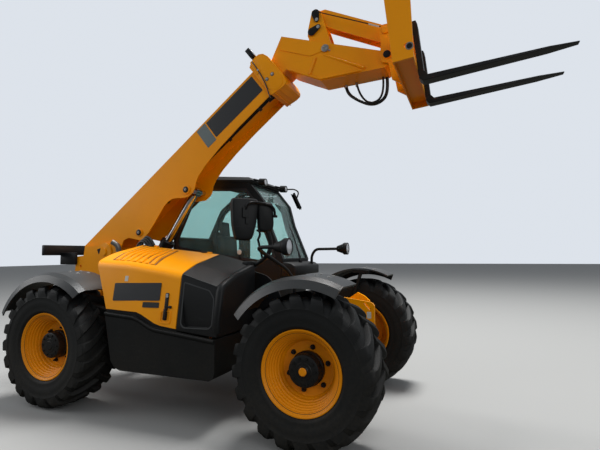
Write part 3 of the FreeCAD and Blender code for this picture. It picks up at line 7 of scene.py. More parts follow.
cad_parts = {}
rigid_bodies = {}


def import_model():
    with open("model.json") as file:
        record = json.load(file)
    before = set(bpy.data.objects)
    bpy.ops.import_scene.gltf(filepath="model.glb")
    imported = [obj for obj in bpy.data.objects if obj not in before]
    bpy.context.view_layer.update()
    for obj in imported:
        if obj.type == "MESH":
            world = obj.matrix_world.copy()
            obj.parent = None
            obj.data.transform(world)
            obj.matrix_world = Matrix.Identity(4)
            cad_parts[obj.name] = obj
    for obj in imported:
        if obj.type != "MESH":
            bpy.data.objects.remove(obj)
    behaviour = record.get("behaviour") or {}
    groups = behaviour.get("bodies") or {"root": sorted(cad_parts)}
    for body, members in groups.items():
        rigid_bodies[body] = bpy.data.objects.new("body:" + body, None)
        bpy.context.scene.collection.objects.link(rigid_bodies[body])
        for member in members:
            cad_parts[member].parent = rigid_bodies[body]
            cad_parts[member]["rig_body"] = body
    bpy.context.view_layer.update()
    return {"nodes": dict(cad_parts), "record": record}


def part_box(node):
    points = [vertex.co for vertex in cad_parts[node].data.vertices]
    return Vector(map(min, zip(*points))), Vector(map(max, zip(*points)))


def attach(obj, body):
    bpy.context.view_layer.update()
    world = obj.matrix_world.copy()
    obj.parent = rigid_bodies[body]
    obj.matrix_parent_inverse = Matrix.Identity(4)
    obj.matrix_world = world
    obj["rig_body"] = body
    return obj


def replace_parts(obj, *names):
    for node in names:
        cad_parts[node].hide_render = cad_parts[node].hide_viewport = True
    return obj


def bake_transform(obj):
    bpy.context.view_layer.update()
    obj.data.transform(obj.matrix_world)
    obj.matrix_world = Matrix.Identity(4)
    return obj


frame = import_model()
nodes = frame["nodes"]

# The machine is laid out from the middle of its wheelbase, this far behind the middle of its length
ORIGIN_X = 0.561
WHEELBASE = 2.75
TRACK = 1.87
AXLE_Z = 0.605

# Wheels
LUG_COUNT = 20
NUT_COUNT = 6
NUT_CIRCLE_R = 0.172
HUB_HEAD_COUNT = 10
HUB_HEAD_CIRCLE_R = 0.098

# Boom
BOOM_PITCH = math.radians(37.8)
PIVOT = Vector((-1.55, 0.0, 1.55))

ENDS = ("front", "rear")
SIDES = ("left", "right")


def at(x, y, z):
    return Vector((x - ORIGIN_X, y, z))


def on_boom(along, side, up):
    c, s = math.cos(BOOM_PITCH), math.sin(BOOM_PITCH)
    return at(PIVOT.x + along * c - up * s, side, PIVOT.z + along * s + up * c)


def srgb(red, green, blue):
    return tuple(((v / 255 + 0.055) / 1.055) ** 2.4 if v > 10 else v / 3294.6 for v in (red, green,
                                                                                        blue)) + (1.0,)


# Shader groups

def new_group(name, inputs, outputs):
    # inputs and outputs are (name, socket type, default) and (name, socket type)
    tree = bpy.data.node_groups.new(name, "ShaderNodeTree")
    for label, kind, value in inputs:
        socket = tree.interface.new_socket(label, in_out="INPUT", socket_type=kind)
        socket.default_value = value
    for label, kind in outputs:
        tree.interface.new_socket(label, in_out="OUTPUT", socket_type=kind)
    return tree, tree.nodes.new("NodeGroupInput"), tree.nodes.new("NodeGroupOutput")


def add(tree, kind, links=(), **settings):
    # a node with its properties and sockets set: a key that is a socket's name sets that socket
    node = tree.nodes.new(kind)
    for key, value in settings.items():
        if hasattr(node, key):
            setattr(node, key, value)
        else:
            node.inputs[key.replace("_", " ")].default_value = value
    for socket, source in links:
        tree.links.new(source, node.inputs[socket])
    return node


def noise(tree, vector, scale, detail=3.0, roughness=0.55):
    return add(tree, "ShaderNodeTexNoise", [("Vector", vector)], Scale=scale, Detail=detail,
               Roughness=roughness)


def ramp(tree, factor, low, high):
    # 0 below low, 1 above high
    return add(tree, "ShaderNodeMapRange", [("Value", factor)], From_Min=low, From_Max=high)


def maths(tree, operation, first, second):
    node = tree.nodes.new("ShaderNodeMath")
    node.operation = operation
    for socket, value in zip(node.inputs, (first, second)):
        if isinstance(value, (int, float)):
            socket.default_value = value
        else:
            tree.links.new(value, socket)
    return node.outputs[0]


def dust_group():
    # field dust: thick near the ground, on ledges that face up, and in drifting patches
    tree, inside, outside = new_group(
        "field_dust",
        [("Amount", "NodeSocketFloat", 0.4), ("Reach", "NodeSocketFloat", 1.1),
         ("Ledge", "NodeSocketFloat", 0.4)],
        [("Mask", "NodeSocketFloat")])
    place = add(tree, "ShaderNodeTexCoord")
    axes = add(tree, "ShaderNodeSeparateXYZ", [("Vector", place.outputs["Object"])])
    facing = add(tree, "ShaderNodeNewGeometry")
    up = add(tree, "ShaderNodeSeparateXYZ", [("Vector", facing.outputs["Normal"])])
    height = maths(tree, "DIVIDE", axes.outputs["Z"], inside.outputs["Reach"])
    low = maths(tree, "MAXIMUM", maths(tree, "SUBTRACT", 1.0, height), 0.0)
    ledge = maths(tree, "MULTIPLY", maths(tree, "MAXIMUM", up.outputs["Z"], 0.0), inside.outputs["Ledge"])
    patches = ramp(tree, noise(tree, place.outputs["Object"], 3.1, 6.0).outputs["Fac"], 0.3, 0.72)
    specks = ramp(tree, noise(tree, place.outputs["Object"], 46.0, 4.0).outputs["Fac"], 0.35, 0.75)
    both = maths(tree, "ADD", low, ledge)
    grime = maths(tree, "MULTIPLY", both, maths(tree, "ADD", patches.outputs[0], 0.35))
    grime = maths(tree, "MULTIPLY", grime, maths(tree, "ADD", specks.outputs[0], 0.5))
    amount = maths(tree, "MULTIPLY", grime, inside.outputs["Amount"])
    tree.links.new(maths(tree, "MINIMUM", amount, 0.92), outside.inputs["Mask"])
    return tree


def wear_group():
    # bare streaks and scratches along a direction
    tree, inside, outside = new_group(
        "scratches",
        [("Scale", "NodeSocketFloat", 20.0), ("Amount", "NodeSocketFloat", 0.3)],
        [("Mask", "NodeSocketFloat")])
    place = add(tree, "ShaderNodeTexCoord")
    stretch = add(tree, "ShaderNodeMapping", [("Vector", place.outputs["Object"])])
    stretch.inputs["Scale"].default_value = (0.35, 3.0, 3.0)
    fine = add(tree,
               "ShaderNodeTexNoise", [("Vector", stretch.outputs[0]), ("Scale", inside.outputs["Scale"])],
               Detail=8.0, Roughness=0.72)
    marks = ramp(tree, fine.outputs["Fac"], 0.58, 0.7)
    tree.links.new(maths(tree, "MULTIPLY", marks.outputs[0], inside.outputs["Amount"]),
                   outside.inputs["Mask"])
    return tree


def skin_group():
    # the fine unevenness of a moulded or sprayed surface, as a normal
    tree, inside, outside = new_group(
        "surface_grain",
        [("Scale", "NodeSocketFloat", 200.0), ("Height", "NodeSocketFloat", 0.1),
         ("Wave", "NodeSocketFloat", 0.0)],
        [("Normal", "NodeSocketVector")])
    place = add(tree, "ShaderNodeTexCoord")
    fine = add(tree,
               "ShaderNodeTexNoise",
               [("Vector", place.outputs["Object"]), ("Scale", inside.outputs["Scale"])],
               Detail=3.0)
    broad = noise(tree, place.outputs["Object"], 5.0, 2.0)
    total = maths(tree, "ADD", maths(tree, "MULTIPLY", fine.outputs["Fac"], inside.outputs["Height"]),
                  maths(tree, "MULTIPLY", broad.outputs["Fac"], inside.outputs["Wave"]))
    bump = add(tree, "ShaderNodeBump", [("Height", total)], Strength=0.6, Distance=0.004)
    tree.links.new(bump.outputs[0], outside.inputs["Normal"])
    return tree


DUST = dust_group()
SCRATCHES = wear_group()
GRAIN = skin_group()
DUST_COLOUR = srgb(150, 132, 104)


def mixed(tree, factor, first, second):
    node = tree.nodes.new("ShaderNodeMix")
    node.data_type = "RGBA"
    for socket, value in ((node.inputs["Factor"], factor), (node.inputs["A"], first), (node.inputs["B"], second)):
        if isinstance(value, (int, float, tuple)):
            socket.default_value = value
        else:
            tree.links.new(value, socket)
    return node.outputs["Result"]


def group_node(tree, group, **values):
    node = tree.nodes.new("ShaderNodeGroup")
    node.node_tree = group
    for key, value in values.items():
        node.inputs[key].default_value = value
    return node


def finish_of(name, colour, shade, rough, metallic=0.0, dust=0.4, reach=1.1, ledge=0.3, grain=200.0,
              height=0.1,
              wave=0.0, marks=0.0, mark_colour=None, mark_scale=20.0, coat=0.0, specular=0.5):
    # a surface of one colour that varies towards shade, with scratches, dust and a fine grain
    material = bpy.data.materials.new(name)
    material.use_nodes = True
    tree = material.node_tree
    shader = tree.nodes["Principled BSDF"]
    place = add(tree, "ShaderNodeTexCoord")
    broad = ramp(tree, noise(tree, place.outputs["Object"], 2.3, 5.0).outputs["Fac"], 0.3, 0.75)
    base = mixed(tree, broad.outputs[0], colour, shade)
    rub = group_node(tree, SCRATCHES, Scale=mark_scale, Amount=marks)
    base = mixed(tree, rub.outputs["Mask"], base, mark_colour or shade)
    dirt = group_node(tree, DUST, Amount=dust, Reach=reach, Ledge=ledge)
    base = mixed(tree, dirt.outputs["Mask"], base, DUST_COLOUR)
    tree.links.new(base, shader.inputs["Base Color"])
    dulled = maths(tree, "ADD", rough, maths(tree, "MULTIPLY", dirt.outputs["Mask"], 0.5))
    tree.links.new(maths(tree, "MINIMUM", dulled, 1.0), shader.inputs["Roughness"])
    surface = group_node(tree, GRAIN, Scale=grain, Height=height, Wave=wave)
    tree.links.new(surface.outputs["Normal"], shader.inputs["Normal"])
    shader.inputs["Metallic"].default_value = metallic
    shader.inputs["Coat Weight"].default_value = coat
    shader.inputs["Coat Roughness"].default_value = 0.12
    shader.inputs["Specular IOR Level"].default_value = specular
    return material


def glass(name, tint, clear):
    material = bpy.data.materials.new(name)
    material.use_nodes = True
    tree = material.node_tree
    shader = tree.nodes["Principled BSDF"]
    dirt = group_node(tree, DUST, Amount=0.25, Reach=2.6, Ledge=0.2)
    tree.links.new(mixed(tree, dirt.outputs["Mask"], tint, DUST_COLOUR), shader.inputs["Base Color"])
    shader.inputs["Roughness"].default_value = 0.03
    shader.inputs["Transmission Weight"].default_value = clear
    shader.inputs["IOR"].default_value = 1.2
    return material


def lamp_finish(name, colour, glow):
    material = bpy.data.materials.new(name)
    material.use_nodes = True
    tree = material.node_tree
    shader = tree.nodes["Principled BSDF"]
    place = add(tree, "ShaderNodeTexCoord")
    flutes = add(tree, "ShaderNodeTexWave", [("Vector", place.outputs["Object"])], Scale=70.0,
                 bands_direction="Y")
    bump = add(tree, "ShaderNodeBump", [("Height", flutes.outputs["Fac"])], Strength=0.35, Distance=0.003)
    tree.links.new(bump.outputs[0], shader.inputs["Normal"])
    shader.inputs["Base Color"].default_value = colour
    shader.inputs["Roughness"].default_value = 0.12
    shader.inputs["Metallic"].default_value = glow
    shader.inputs["Coat Weight"].default_value = 1.0
    return material


YELLOW = finish_of("yellow_paint", srgb(247, 158, 0), srgb(240, 150, 0), 0.32, dust=0.04, reach=1.3,
                   ledge=0.06,
                   grain=90.0, height=0.02, wave=0.2, marks=0.10, mark_colour=srgb(196, 112, 6),
                   mark_scale=9.0,
                   coat=0.04, specular=0.18)
WHEEL_YELLOW = finish_of("wheel_paint", srgb(240, 148, 0), srgb(230, 138, 0), 0.36, dust=0.05, reach=1.4,
                         ledge=0.1,
                         grain=120.0, height=0.03, wave=0.1, marks=0.15, mark_colour=srgb(176, 100, 8),
                         specular=0.2)
# a darker yellow, painted as the shade of the sunk, perforated louvre field between the ribs
LOUVRE_SHADE_YELLOW = finish_of("louvre_painted_shade", srgb(150, 92, 8), srgb(120, 72, 6), 0.5, dust=0.15, ledge=0.1,
                        grain=300.0,
                        height=0.2)
BLACK_STEEL = finish_of("black_steel", srgb(15, 16, 18), srgb(22, 23, 24), 0.40, dust=0.05, reach=1.2,
                        ledge=0.10,
                        grain=160.0, height=0.05, wave=0.1, marks=0.15, mark_colour=srgb(58, 57, 54),
                        specular=0.22)
PLASTIC = finish_of("panel_plastic", srgb(17, 18, 19), srgb(23, 25, 26), 0.46, dust=0.04, reach=1.1,
                    ledge=0.25,
                    grain=420.0, height=0.14, wave=0.1, marks=0.2, mark_colour=srgb(50, 52, 53),
                    mark_scale=12.0,
                    specular=0.2)
GUARD_PLASTIC = finish_of("guard_plastic", srgb(35, 38, 40), srgb(44, 47, 49), 0.34, dust=0.10, reach=1.5,
                          ledge=0.3,
                          grain=420.0, height=0.14, marks=0.2, mark_colour=srgb(86, 86, 84), mark_scale=14.0)
WORN_PLASTIC = finish_of("worn_plastic", srgb(58, 60, 61), srgb(38, 40, 41), 0.5, dust=0.08, grain=300.0,
                         height=0.1,
                         specular=0.3)
PLATE_BLACK = finish_of("blank_plate", srgb(20, 21, 22), srgb(25, 26, 27), 0.28, dust=0.12, ledge=0.05,
                        grain=500.0,
                        height=0.03, coat=0.2)
RUBBER = finish_of("tyre_rubber", srgb(19, 21, 22), srgb(25, 27, 28), 0.62, dust=0.045, reach=1.3, ledge=0.05,
                   grain=150.0, height=0.10, marks=0.25, mark_colour=srgb(52, 53, 52), mark_scale=30.0,
                   specular=0.22)
HOSE_RUBBER = finish_of("hose_rubber", srgb(16, 17, 18), srgb(25, 25, 26), 0.45, dust=0.15, grain=300.0,
                        height=0.10)
SPIRAL_RUBBER = finish_of("spiral_hose", srgb(17, 18, 19), srgb(27, 27, 28), 0.4, dust=0.12, grain=110.0,
                          height=0.9)
CHROME = finish_of("rod_chrome", srgb(206, 208, 210), srgb(188, 190, 192), 0.14, metallic=1.0, dust=0.06,
                   marks=0.15,
                   mark_colour=srgb(150, 150, 148), mark_scale=60.0, height=0.01)
FORK_STEEL = finish_of("fork_steel", srgb(20, 21, 22), srgb(30, 30, 29), 0.42, metallic=0.2, dust=0.04,
                       grain=80.0,
                       height=0.08, marks=0.7, mark_colour=srgb(80, 77, 73), mark_scale=16.0, specular=0.3)
CLOTH = finish_of("seat_cloth", srgb(34, 36, 40), srgb(48, 50, 54), 0.92, dust=0.06, ledge=0.03, grain=700.0,
                  height=0.5,
                  specular=0.2)
IRON = finish_of("engine_iron", srgb(56, 55, 52), srgb(70, 65, 58), 0.7, dust=0.3, grain=60.0, height=0.3)
ZINC = finish_of("plated_bolt", srgb(176, 176, 174), srgb(146, 144, 140), 0.36, metallic=0.45, dust=0.15,
                 grain=120.0,
                 height=0.05)
PIPE_STEEL = finish_of("worn_pipe", srgb(150, 149, 146), srgb(112, 108, 102), 0.42, metallic=0.7, dust=0.2,
                       grain=140.0,
                       height=0.08, marks=0.3, mark_colour=srgb(84, 70, 56))
PLATE_GREY = finish_of("blank_grey_plate", srgb(98, 110, 110), srgb(90, 102, 102), 0.4, dust=0.1, ledge=0.05,
                       grain=300.0, height=0.02)
LABEL = finish_of("blank_label", srgb(206, 204, 194), srgb(192, 190, 180), 0.5, dust=0.1, grain=300.0,
                  height=0.02)
GLASS = glass("window_glass", srgb(206, 236, 232), 0.95)
REFLECTOR = lamp_finish("lamp_reflector", srgb(222, 225, 228), 0.35)
MIRROR = lamp_finish("mirror_face", srgb(150, 160, 168), 1.0)
AMBER = lamp_finish("amber_lens", srgb(222, 112, 20), 0.0)
RED_LENS = lamp_finish("red_lens", srgb(150, 20, 20), 0.0)

SLOT_FINISHES = {
    "yellow_paint": YELLOW, "wheel_paint": WHEEL_YELLOW, "black_steel": BLACK_STEEL, "panel_plastic": PLASTIC,
    "tyre_rubber": RUBBER, "hose_rubber": HOSE_RUBBER, "window_glass": GLASS, "rod_chrome": CHROME,
    "fork_steel": FORK_STEEL, "seat_cloth": CLOTH, "engine_iron": IRON,
}
# the slot that each finish counts to
SLOT_OF = {finish: name for name, finish in SLOT_FINISHES.items()}
SLOT_OF.update({SPIRAL_RUBBER: "hose_rubber", GUARD_PLASTIC: "panel_plastic", PLATE_BLACK: "panel_plastic",
                PLATE_GREY: "panel_plastic", WORN_PLASTIC: "panel_plastic", REFLECTOR: "panel_plastic",
                AMBER: "panel_plastic", RED_LENS: "panel_plastic", MIRROR: "window_glass", ZINC: "rod_chrome",
                PIPE_STEEL: "rod_chrome",
                LOUVRE_SHADE_YELLOW: "yellow_paint", LABEL: "yellow_paint"})


# Pieces

def finished(obj, material):
    obj.data.materials.clear()
    obj.data.materials.append(material)
    return obj


def linked(name, data):
    obj = bpy.data.objects.new(name, data)
    bpy.context.scene.collection.objects.link(obj)
    return obj


def mesh_of(name, shape):
    mesh = bpy.data.meshes.new(name)
    shape.to_mesh(mesh)
    shape.free()
    return mesh


def piece(name, shape, material, body, smooth_angle=32.0):
    # closes a bmesh into a piece that rides on a body
    bmesh.ops.remove_doubles(shape, verts=shape.verts, dist=1e-5)
    bmesh.ops.recalc_face_normals(shape, faces=shape.faces)
    mesh = mesh_of(name, shape)
    mesh.shade_smooth()
    mesh.set_sharp_from_angle(angle=math.radians(smooth_angle))
    obj = finished(linked(name, mesh), material)
    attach(obj, body)
    return obj


def merged(shape, extra):
    # adds all of one bmesh to another
    shape.from_mesh(mesh_of("merged", extra))
    return shape


def eased(shape, width, sharp=28.0):
    # rounds off the edges where two faces meet at more than the sharp angle
    edges = [e for e in shape.edges if len(e.link_faces) == 2 and e.calc_face_angle(0.0) > math.radians(sharp)]
    bmesh.ops.bevel(shape, geom=edges, offset=width, offset_type="OFFSET", affect="EDGES", segments=2,
                    profile=0.5, material=-1, clamp_overlap=True)
    return shape


def softened(node, width, smooth_angle):
    # the node's own shape with its sharp edges rounded off, standing for the node
    source = nodes[node]
    shape = bmesh.new()
    shape.from_mesh(source.data)
    bmesh.ops.remove_doubles(shape, verts=shape.verts, dist=2e-5)
    bmesh.ops.dissolve_limit(shape, angle_limit=math.radians(1.0), verts=shape.verts, edges=shape.edges,
                             use_dissolve_boundaries=False)
    eased(shape, width)
    obj = piece("soft_" + node, shape, source.data.materials[0], source["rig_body"], smooth_angle)
    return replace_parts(obj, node)


for part in frame["record"]["subparts"]:
    guard = part["node"].startswith("mudguard")
    finished(nodes[part["node"]], GUARD_PLASTIC if guard else SLOT_FINISHES[part["material_slot"]])


def ring(shape, points):
    # a closed loop of edges through the points
    spots = [shape.verts.new(point) for point in points]
    return [shape.edges.new((spots[i - 1], spots[i])) for i in range(len(spots))]


def bridged(shape, sections, capped=True):
    # a skin over loops of points of one count, closed at both ends
    loops = [ring(shape, points) for points in sections]
    for first, second in zip(loops, loops[1:]):
        bmesh.ops.bridge_loops(shape, edges=first + second)
    if capped:
        for loop in (loops[0], loops[-1]):
            bmesh.ops.contextual_create(shape, geom=loop)
    return shape


def turned(shape, profile, steps, closed=True):
    # (radius, y) points spun about the Y axis
    spots = [shape.verts.new((radius, y, 0.0)) for radius, y in profile]
    edges = [shape.edges.new(pair) for pair in zip(spots, spots[1:])]
    if closed:
        edges.append(shape.edges.new((spots[-1], spots[0])))
    bmesh.ops.spin(shape, geom=spots + edges, cent=(0, 0, 0), axis=(0, 1, 0), angle=2 * math.pi, steps=steps,
                   use_merge=True)
    return shape


def repeated(shape, count):
    # copies of all that is in the shape, evenly round the Y axis
    everything = shape.verts[:] + shape.edges[:] + shape.faces[:]
    bmesh.ops.spin(shape, geom=everything, cent=(0, 0, 0), axis=(0, 1, 0),
                   angle=2 * math.pi * (count - 1) / count,
                   steps=count - 1, use_duplicate=True)
    return shape


def spun(shape, angle, axis):
    # turns all of a shape about an axis through the origin
    bmesh.ops.rotate(shape, verts=shape.verts, cent=(0, 0, 0), matrix=Matrix.Rotation(angle, 3, axis))
    return shape


def placed(shape, place, mirrored=False):
    # moves a shape built about the origin to its place, mirrored for a wheel on the right
    flip = Matrix.Diagonal((1.0, -1.0 if mirrored else 1.0, 1.0, 1.0))
    bmesh.ops.transform(shape, matrix=Matrix.Translation(place) @ flip, verts=shape.verts)
    return shape


def rounded_bar(shape, low, high, width=0.004, segments=2, turn=None):
    # a block between two corners with rounded edges
    made = bmesh.ops.create_cube(shape, size=1.0)["verts"]
    size = Vector(high) - Vector(low)
    middle = (Vector(high) + Vector(low)) / 2
    matrix = Matrix.Translation(middle) @ (turn or Matrix.Identity(4)) @ Matrix.Diagonal((*size, 1.0))
    bmesh.ops.transform(shape, matrix=matrix, verts=made)
    edges = list({e for v in made for e in v.link_edges})
    bmesh.ops.bevel(shape, geom=edges, offset=min(width, min(abs(v) for v in size) * 0.45),
                    offset_type="OFFSET",
                    affect="EDGES", segments=segments, profile=0.5, material=-1)
    return shape


def stub(shape, start, end, radius, segments=24, lip=0.0):
    # a round bar between two points, its two rims broken by lip
    way = Vector(end) - Vector(start)
    turn = way.to_track_quat("Z", "Y").to_matrix().to_4x4()
    middle = (Vector(start) + Vector(end)) / 2
    made = bmesh.ops.create_cone(shape, cap_ends=True, segments=segments, radius1=radius, radius2=radius,
                                 depth=way.length, matrix=Matrix.Translation(middle) @ turn)["verts"]
    if lip:
        rims = [e for e in {e for v in made for e in v.link_edges}
                if any(len(f.verts) > 4 for f in e.link_faces)]
        bmesh.ops.bevel(shape, geom=rims, offset=lip, offset_type="OFFSET", affect="EDGES", segments=2,
                        profile=0.5,
                        material=-1)
    return shape


def bolt(shape, place, way, radius, height):
    # a washer with a hexagon head on it, standing along way
    way = Vector(way).normalized()
    place = Vector(place)
    stub(shape, place, place + way * height * 0.3, radius * 1.5, 20)
    stub(shape, place + way * height * 0.3, place + way * height, radius, 6, radius * 0.12)
    return shape


# Wheels

# radius and y of the tyre's skin, from the outer bead to the middle of the tread
SIDEWALL = ((0.300, 0.186), (0.334, 0.197), (0.345, 0.214), (0.362, 0.222), (0.376, 0.219), (0.400, 0.230),
            (0.450, 0.2345), (0.484, 0.2325), (0.490, 0.2358), (0.497, 0.2320), (0.520, 0.226),
            (0.545, 0.214),
            (0.557, 0.196), (0.563, 0.12), (0.565, 0.0))


# half width of a lug, its lowest and highest radius, and how far it has swept forward, at each y
LUG_STATIONS = ((-0.018, 0.034, 0.552, 0.6040, 0.000), (0.04, 0.032, 0.552, 0.6044, 0.044),
                (0.10, 0.033, 0.552, 0.6045, 0.088), (0.15, 0.036, 0.548, 0.6015, 0.118),
                (0.19, 0.041, 0.540, 0.5960, 0.138), (0.222, 0.046, 0.508, 0.5820, 0.148),
                (0.2345, 0.048, 0.488, 0.5560, 0.150))
LUG_CHAMFER = 0.009
LUG_FOOT = 0.010
ROUND_STEPS = 96


def lug_section(y, half, low, top, sweep):
    wide = half + LUG_FOOT
    rows = ((sweep - wide, low), (sweep - half, top - LUG_CHAMFER), (sweep - half + LUG_CHAMFER, top),
            (sweep + half - LUG_CHAMFER, top), (sweep + half, top - LUG_CHAMFER), (sweep + wide, low))
    return [(x, y, math.sqrt(radius ** 2 - x ** 2)) for x, radius in rows]


def axle_x(end):
    return WHEELBASE / 2 * (1 if end == "front" else -1)


def wheel_place(end, side):
    return at(axle_x(end), TRACK / 2 * (1 if side == "left" else -1), AXLE_Z)


def tyre(end, side):
    skin = list(SIDEWALL) + [(radius, -y) for radius, y in reversed(SIDEWALL[:-1])]
    shape = turned(bmesh.new(), skin, ROUND_STEPS)
    # one row of lugs on each half of the tread, half a pitch apart
    for way, shift in ((1, 0.0), (-1, 0.5)):
        block = bridged(bmesh.new(), [lug_section(*row) for row in LUG_STATIONS])
        bmesh.ops.transform(block, verts=block.verts, matrix=Matrix.Diagonal((1.0, way, 1.0, 1.0)))
        spun(block, math.radians(180.0 + shift * 360.0 / LUG_COUNT), "Y")
        merged(shape, repeated(block, LUG_COUNT))
    placed(shape, wheel_place(end, side), side == "right")
    name = "tyre_" + end + "_" + side
    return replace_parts(piece("cover_" + name, shape, RUBBER, "wheel_" + end + "_" + side, 38.0), name)


# radius and y of the stepped dish, from the outer flange inwards
RIM_STEPS = ((0.300, 0.184), (0.3315, 0.1945), (0.3315, 0.2005), (0.328, 0.2035), (0.321, 0.203),
             (0.314, 0.198),
             (0.309, 0.1905), (0.2965, 0.183), (0.294, 0.168), (0.285, 0.163), (0.282, 0.148), (0.273, 0.143),
             (0.270, 0.126), (0.261, 0.121), (0.258, 0.102), (0.249, 0.097), (0.245, 0.076), (0.236, 0.070),
             (0.231, 0.048), (0.222, 0.040), (0.214, 0.024), (0.190, 0.020), (0.10, 0.020), (0.10, -0.010),
             (0.225, -0.010), (0.285, -0.12), (0.294, -0.168), (0.2965, -0.183), (0.309, -0.1905),
             (0.314, -0.198),
             (0.321, -0.203), (0.328, -0.2035), (0.3315, -0.2005), (0.3315, -0.1945), (0.300, -0.184))
# the wheel nuts stand this far round from the wheel's forward line
NUT_TURN = math.radians(-17.0)
HUB_PROFILE = ((0.0, 0.150), (0.040, 0.150), (0.047, 0.143), (0.066, 0.142), (0.070, 0.1385), (0.112, 0.1385),
               (0.124, 0.132), (0.129, 0.120), (0.130, 0.062), (0.139, 0.054), (0.139, 0.021), (0.0, 0.021))
HUB_CAP = ((0.0, 0.160), (0.026, 0.159), (0.032, 0.154), (0.033, 0.146), (0.0, 0.146))


def wheel_rim(end, side):
    wheel = "wheel_" + end + "_" + side
    nuts = bmesh.new()
    bolt(nuts, (NUT_CIRCLE_R, 0.0205, 0), (0, 1, 0), 0.014, 0.026)
    stub(nuts, (NUT_CIRCLE_R, 0.0405, 0), (NUT_CIRCLE_R, 0.060, 0), 0.009, 12, 0.002)
    heads = bmesh.new()
    bolt(heads, (HUB_HEAD_CIRCLE_R, 0.1375, 0), (0, 1, 0), 0.008, 0.010)
    shapes = [("dish_", turned(bmesh.new(), RIM_STEPS, ROUND_STEPS), WHEEL_YELLOW, 24.0),
              ("nuts_", spun(repeated(nuts, NUT_COUNT), NUT_TURN, "Y"), BLACK_STEEL, 32.0),
              ("hub_", merged(turned(bmesh.new(), HUB_PROFILE, 64), repeated(heads, HUB_HEAD_COUNT)),
               BLACK_STEEL, 32.0)]
    if end == "front":
        shapes.append(("cap_", turned(bmesh.new(), HUB_CAP, 32), WHEEL_YELLOW, 32.0))
    made = [piece(name + wheel, placed(shape, wheel_place(end, side), side == "right"), finish, wheel, angle)
            for name, shape, finish, angle in shapes]
    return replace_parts(made[0], "rim_" + end + "_" + side)


for end in ENDS:
    for side in SIDES:
        tyre(end, side)
        wheel_rim(end, side)


# Plates, bars and small fittings

def prism(shape, rows, low, high, spot=at):
    # an outline of (a, b) corners, made solid from low to high across it; spot gives each place
    return bridged(shape, [[spot(a, t, b) for a, b in rows] for t in (low, high)])


def rounded_line(points, cuts, steps=4):
    # a line whose inner corners are rounded, each starting its cut before the corner
    spots = [Vector(p) for p in points]
    line = [spots[0]]
    for before, corner, after, cut in zip(spots, spots[1:], spots[2:], cuts):
        enter = corner + (before - corner).normalized() * min(cut, (before - corner).length * 0.48)
        leave = corner + (after - corner).normalized() * min(cut, (after - corner).length * 0.48)
        for index in range(steps + 1):
            t = index / steps
            line.append(enter * (1 - t) ** 2 + corner * 2 * t * (1 - t) + leave * t ** 2)
    line.append(spots[-1])
    return line


def rectangle(x0, z0, x1, z1):
    return [(x0, z0), (x1, z0), (x1, z1), (x0, z1)]


def rounded_loop(points, cut, steps=4):
    # an outline with each of its corners rounded
    count = len(points)
    line = rounded_line([points[-1]] + list(points) + [points[0]], [cut] * count, steps)
    return [(p.x, p.y) for p in line[1:-1]]


def stadium(x0, z0, x1, z1, r0, r1, steps=9):
    # the outline round two circles of their own radii
    way = math.atan2(z1 - z0, x1 - x0)
    rows = []
    for x, z, r, start in ((x0, z0, r0, way + math.pi / 2), (x1, z1, r1, way - math.pi / 2)):
        for index in range(steps + 1):
            angle = start + math.pi * index / steps
            rows.append((x + r * math.cos(angle), z + r * math.sin(angle)))
    return rows


def inset_loop(points, distance):
    # the outline moved inwards, corner by corner
    area = sum(a[0] * b[1] - b[0] * a[1] for a, b in zip(points, points[1:] + points[:1]))
    sign = 1.0 if area > 0 else -1.0
    rows = []
    for before, here, after in zip(points[-1:] + points[:-1], points, points[1:] + points[:1]):
        first = (Vector(here) - Vector(before)).normalized()
        second = (Vector(after) - Vector(here)).normalized()
        normal_a = Vector((-first.y, first.x)) * sign
        normal_b = Vector((-second.y, second.x)) * sign
        middle = (normal_a + normal_b).normalized()
        reach = distance / max(middle.dot(normal_a), 0.4)
        rows.append((here[0] + middle.x * reach, here[1] + middle.y * reach))
    return rows


def gasket(shape, rows, low, high, width, spot=at):
    # a frame of the given width along the inside of an outline
    face = bmesh.ops.contextual_create(shape, geom=ring(shape, [spot(a, low, b) for a, b in rows]))["faces"]
    rim = bmesh.ops.inset_region(shape, faces=face, thickness=width, use_even_offset=True,
                                 use_boundary=True)["faces"]
    bmesh.ops.delete(shape, geom=face, context="FACES_ONLY")
    grown = bmesh.ops.extrude_face_region(shape, geom=rim, use_keep_orig=True)["geom"]
    lift = spot(0.0, high, 1.0) - spot(0.0, low, 1.0)
    bmesh.ops.translate(shape, verts=[g for g in grown if isinstance(g, bmesh.types.BMVert)], vec=lift)
    return shape


def settled(obj):
    # the object's final shape as a mesh of its own; the object itself goes
    bpy.context.view_layer.update()
    shape = bpy.data.meshes.new_from_object(obj.evaluated_get(bpy.context.evaluated_depsgraph_get()))
    bpy.data.objects.remove(obj)
    return shape


def tube_line(name, route, radius, material, body=None):
    # a round bar or hose along a smooth line; without a body it is left as a mesh of its own
    curve = bpy.data.curves.new(name, "CURVE")
    curve.dimensions = "3D"
    curve.bevel_depth = radius
    curve.bevel_resolution = 5
    curve.resolution_u = 10
    curve.use_fill_caps = True
    spline = curve.splines.new("NURBS")
    spline.points.add(len(route) - 1)
    for point, place in zip(spline.points, route):
        point.co = (*place, 1.0)
    spline.order_u = 3
    spline.use_endpoint_u = True
    obj = linked(name, curve)
    if not body:
        obj = linked(name, settled(obj))
    finished(obj, material)
    if body:
        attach(obj, body)
    return obj


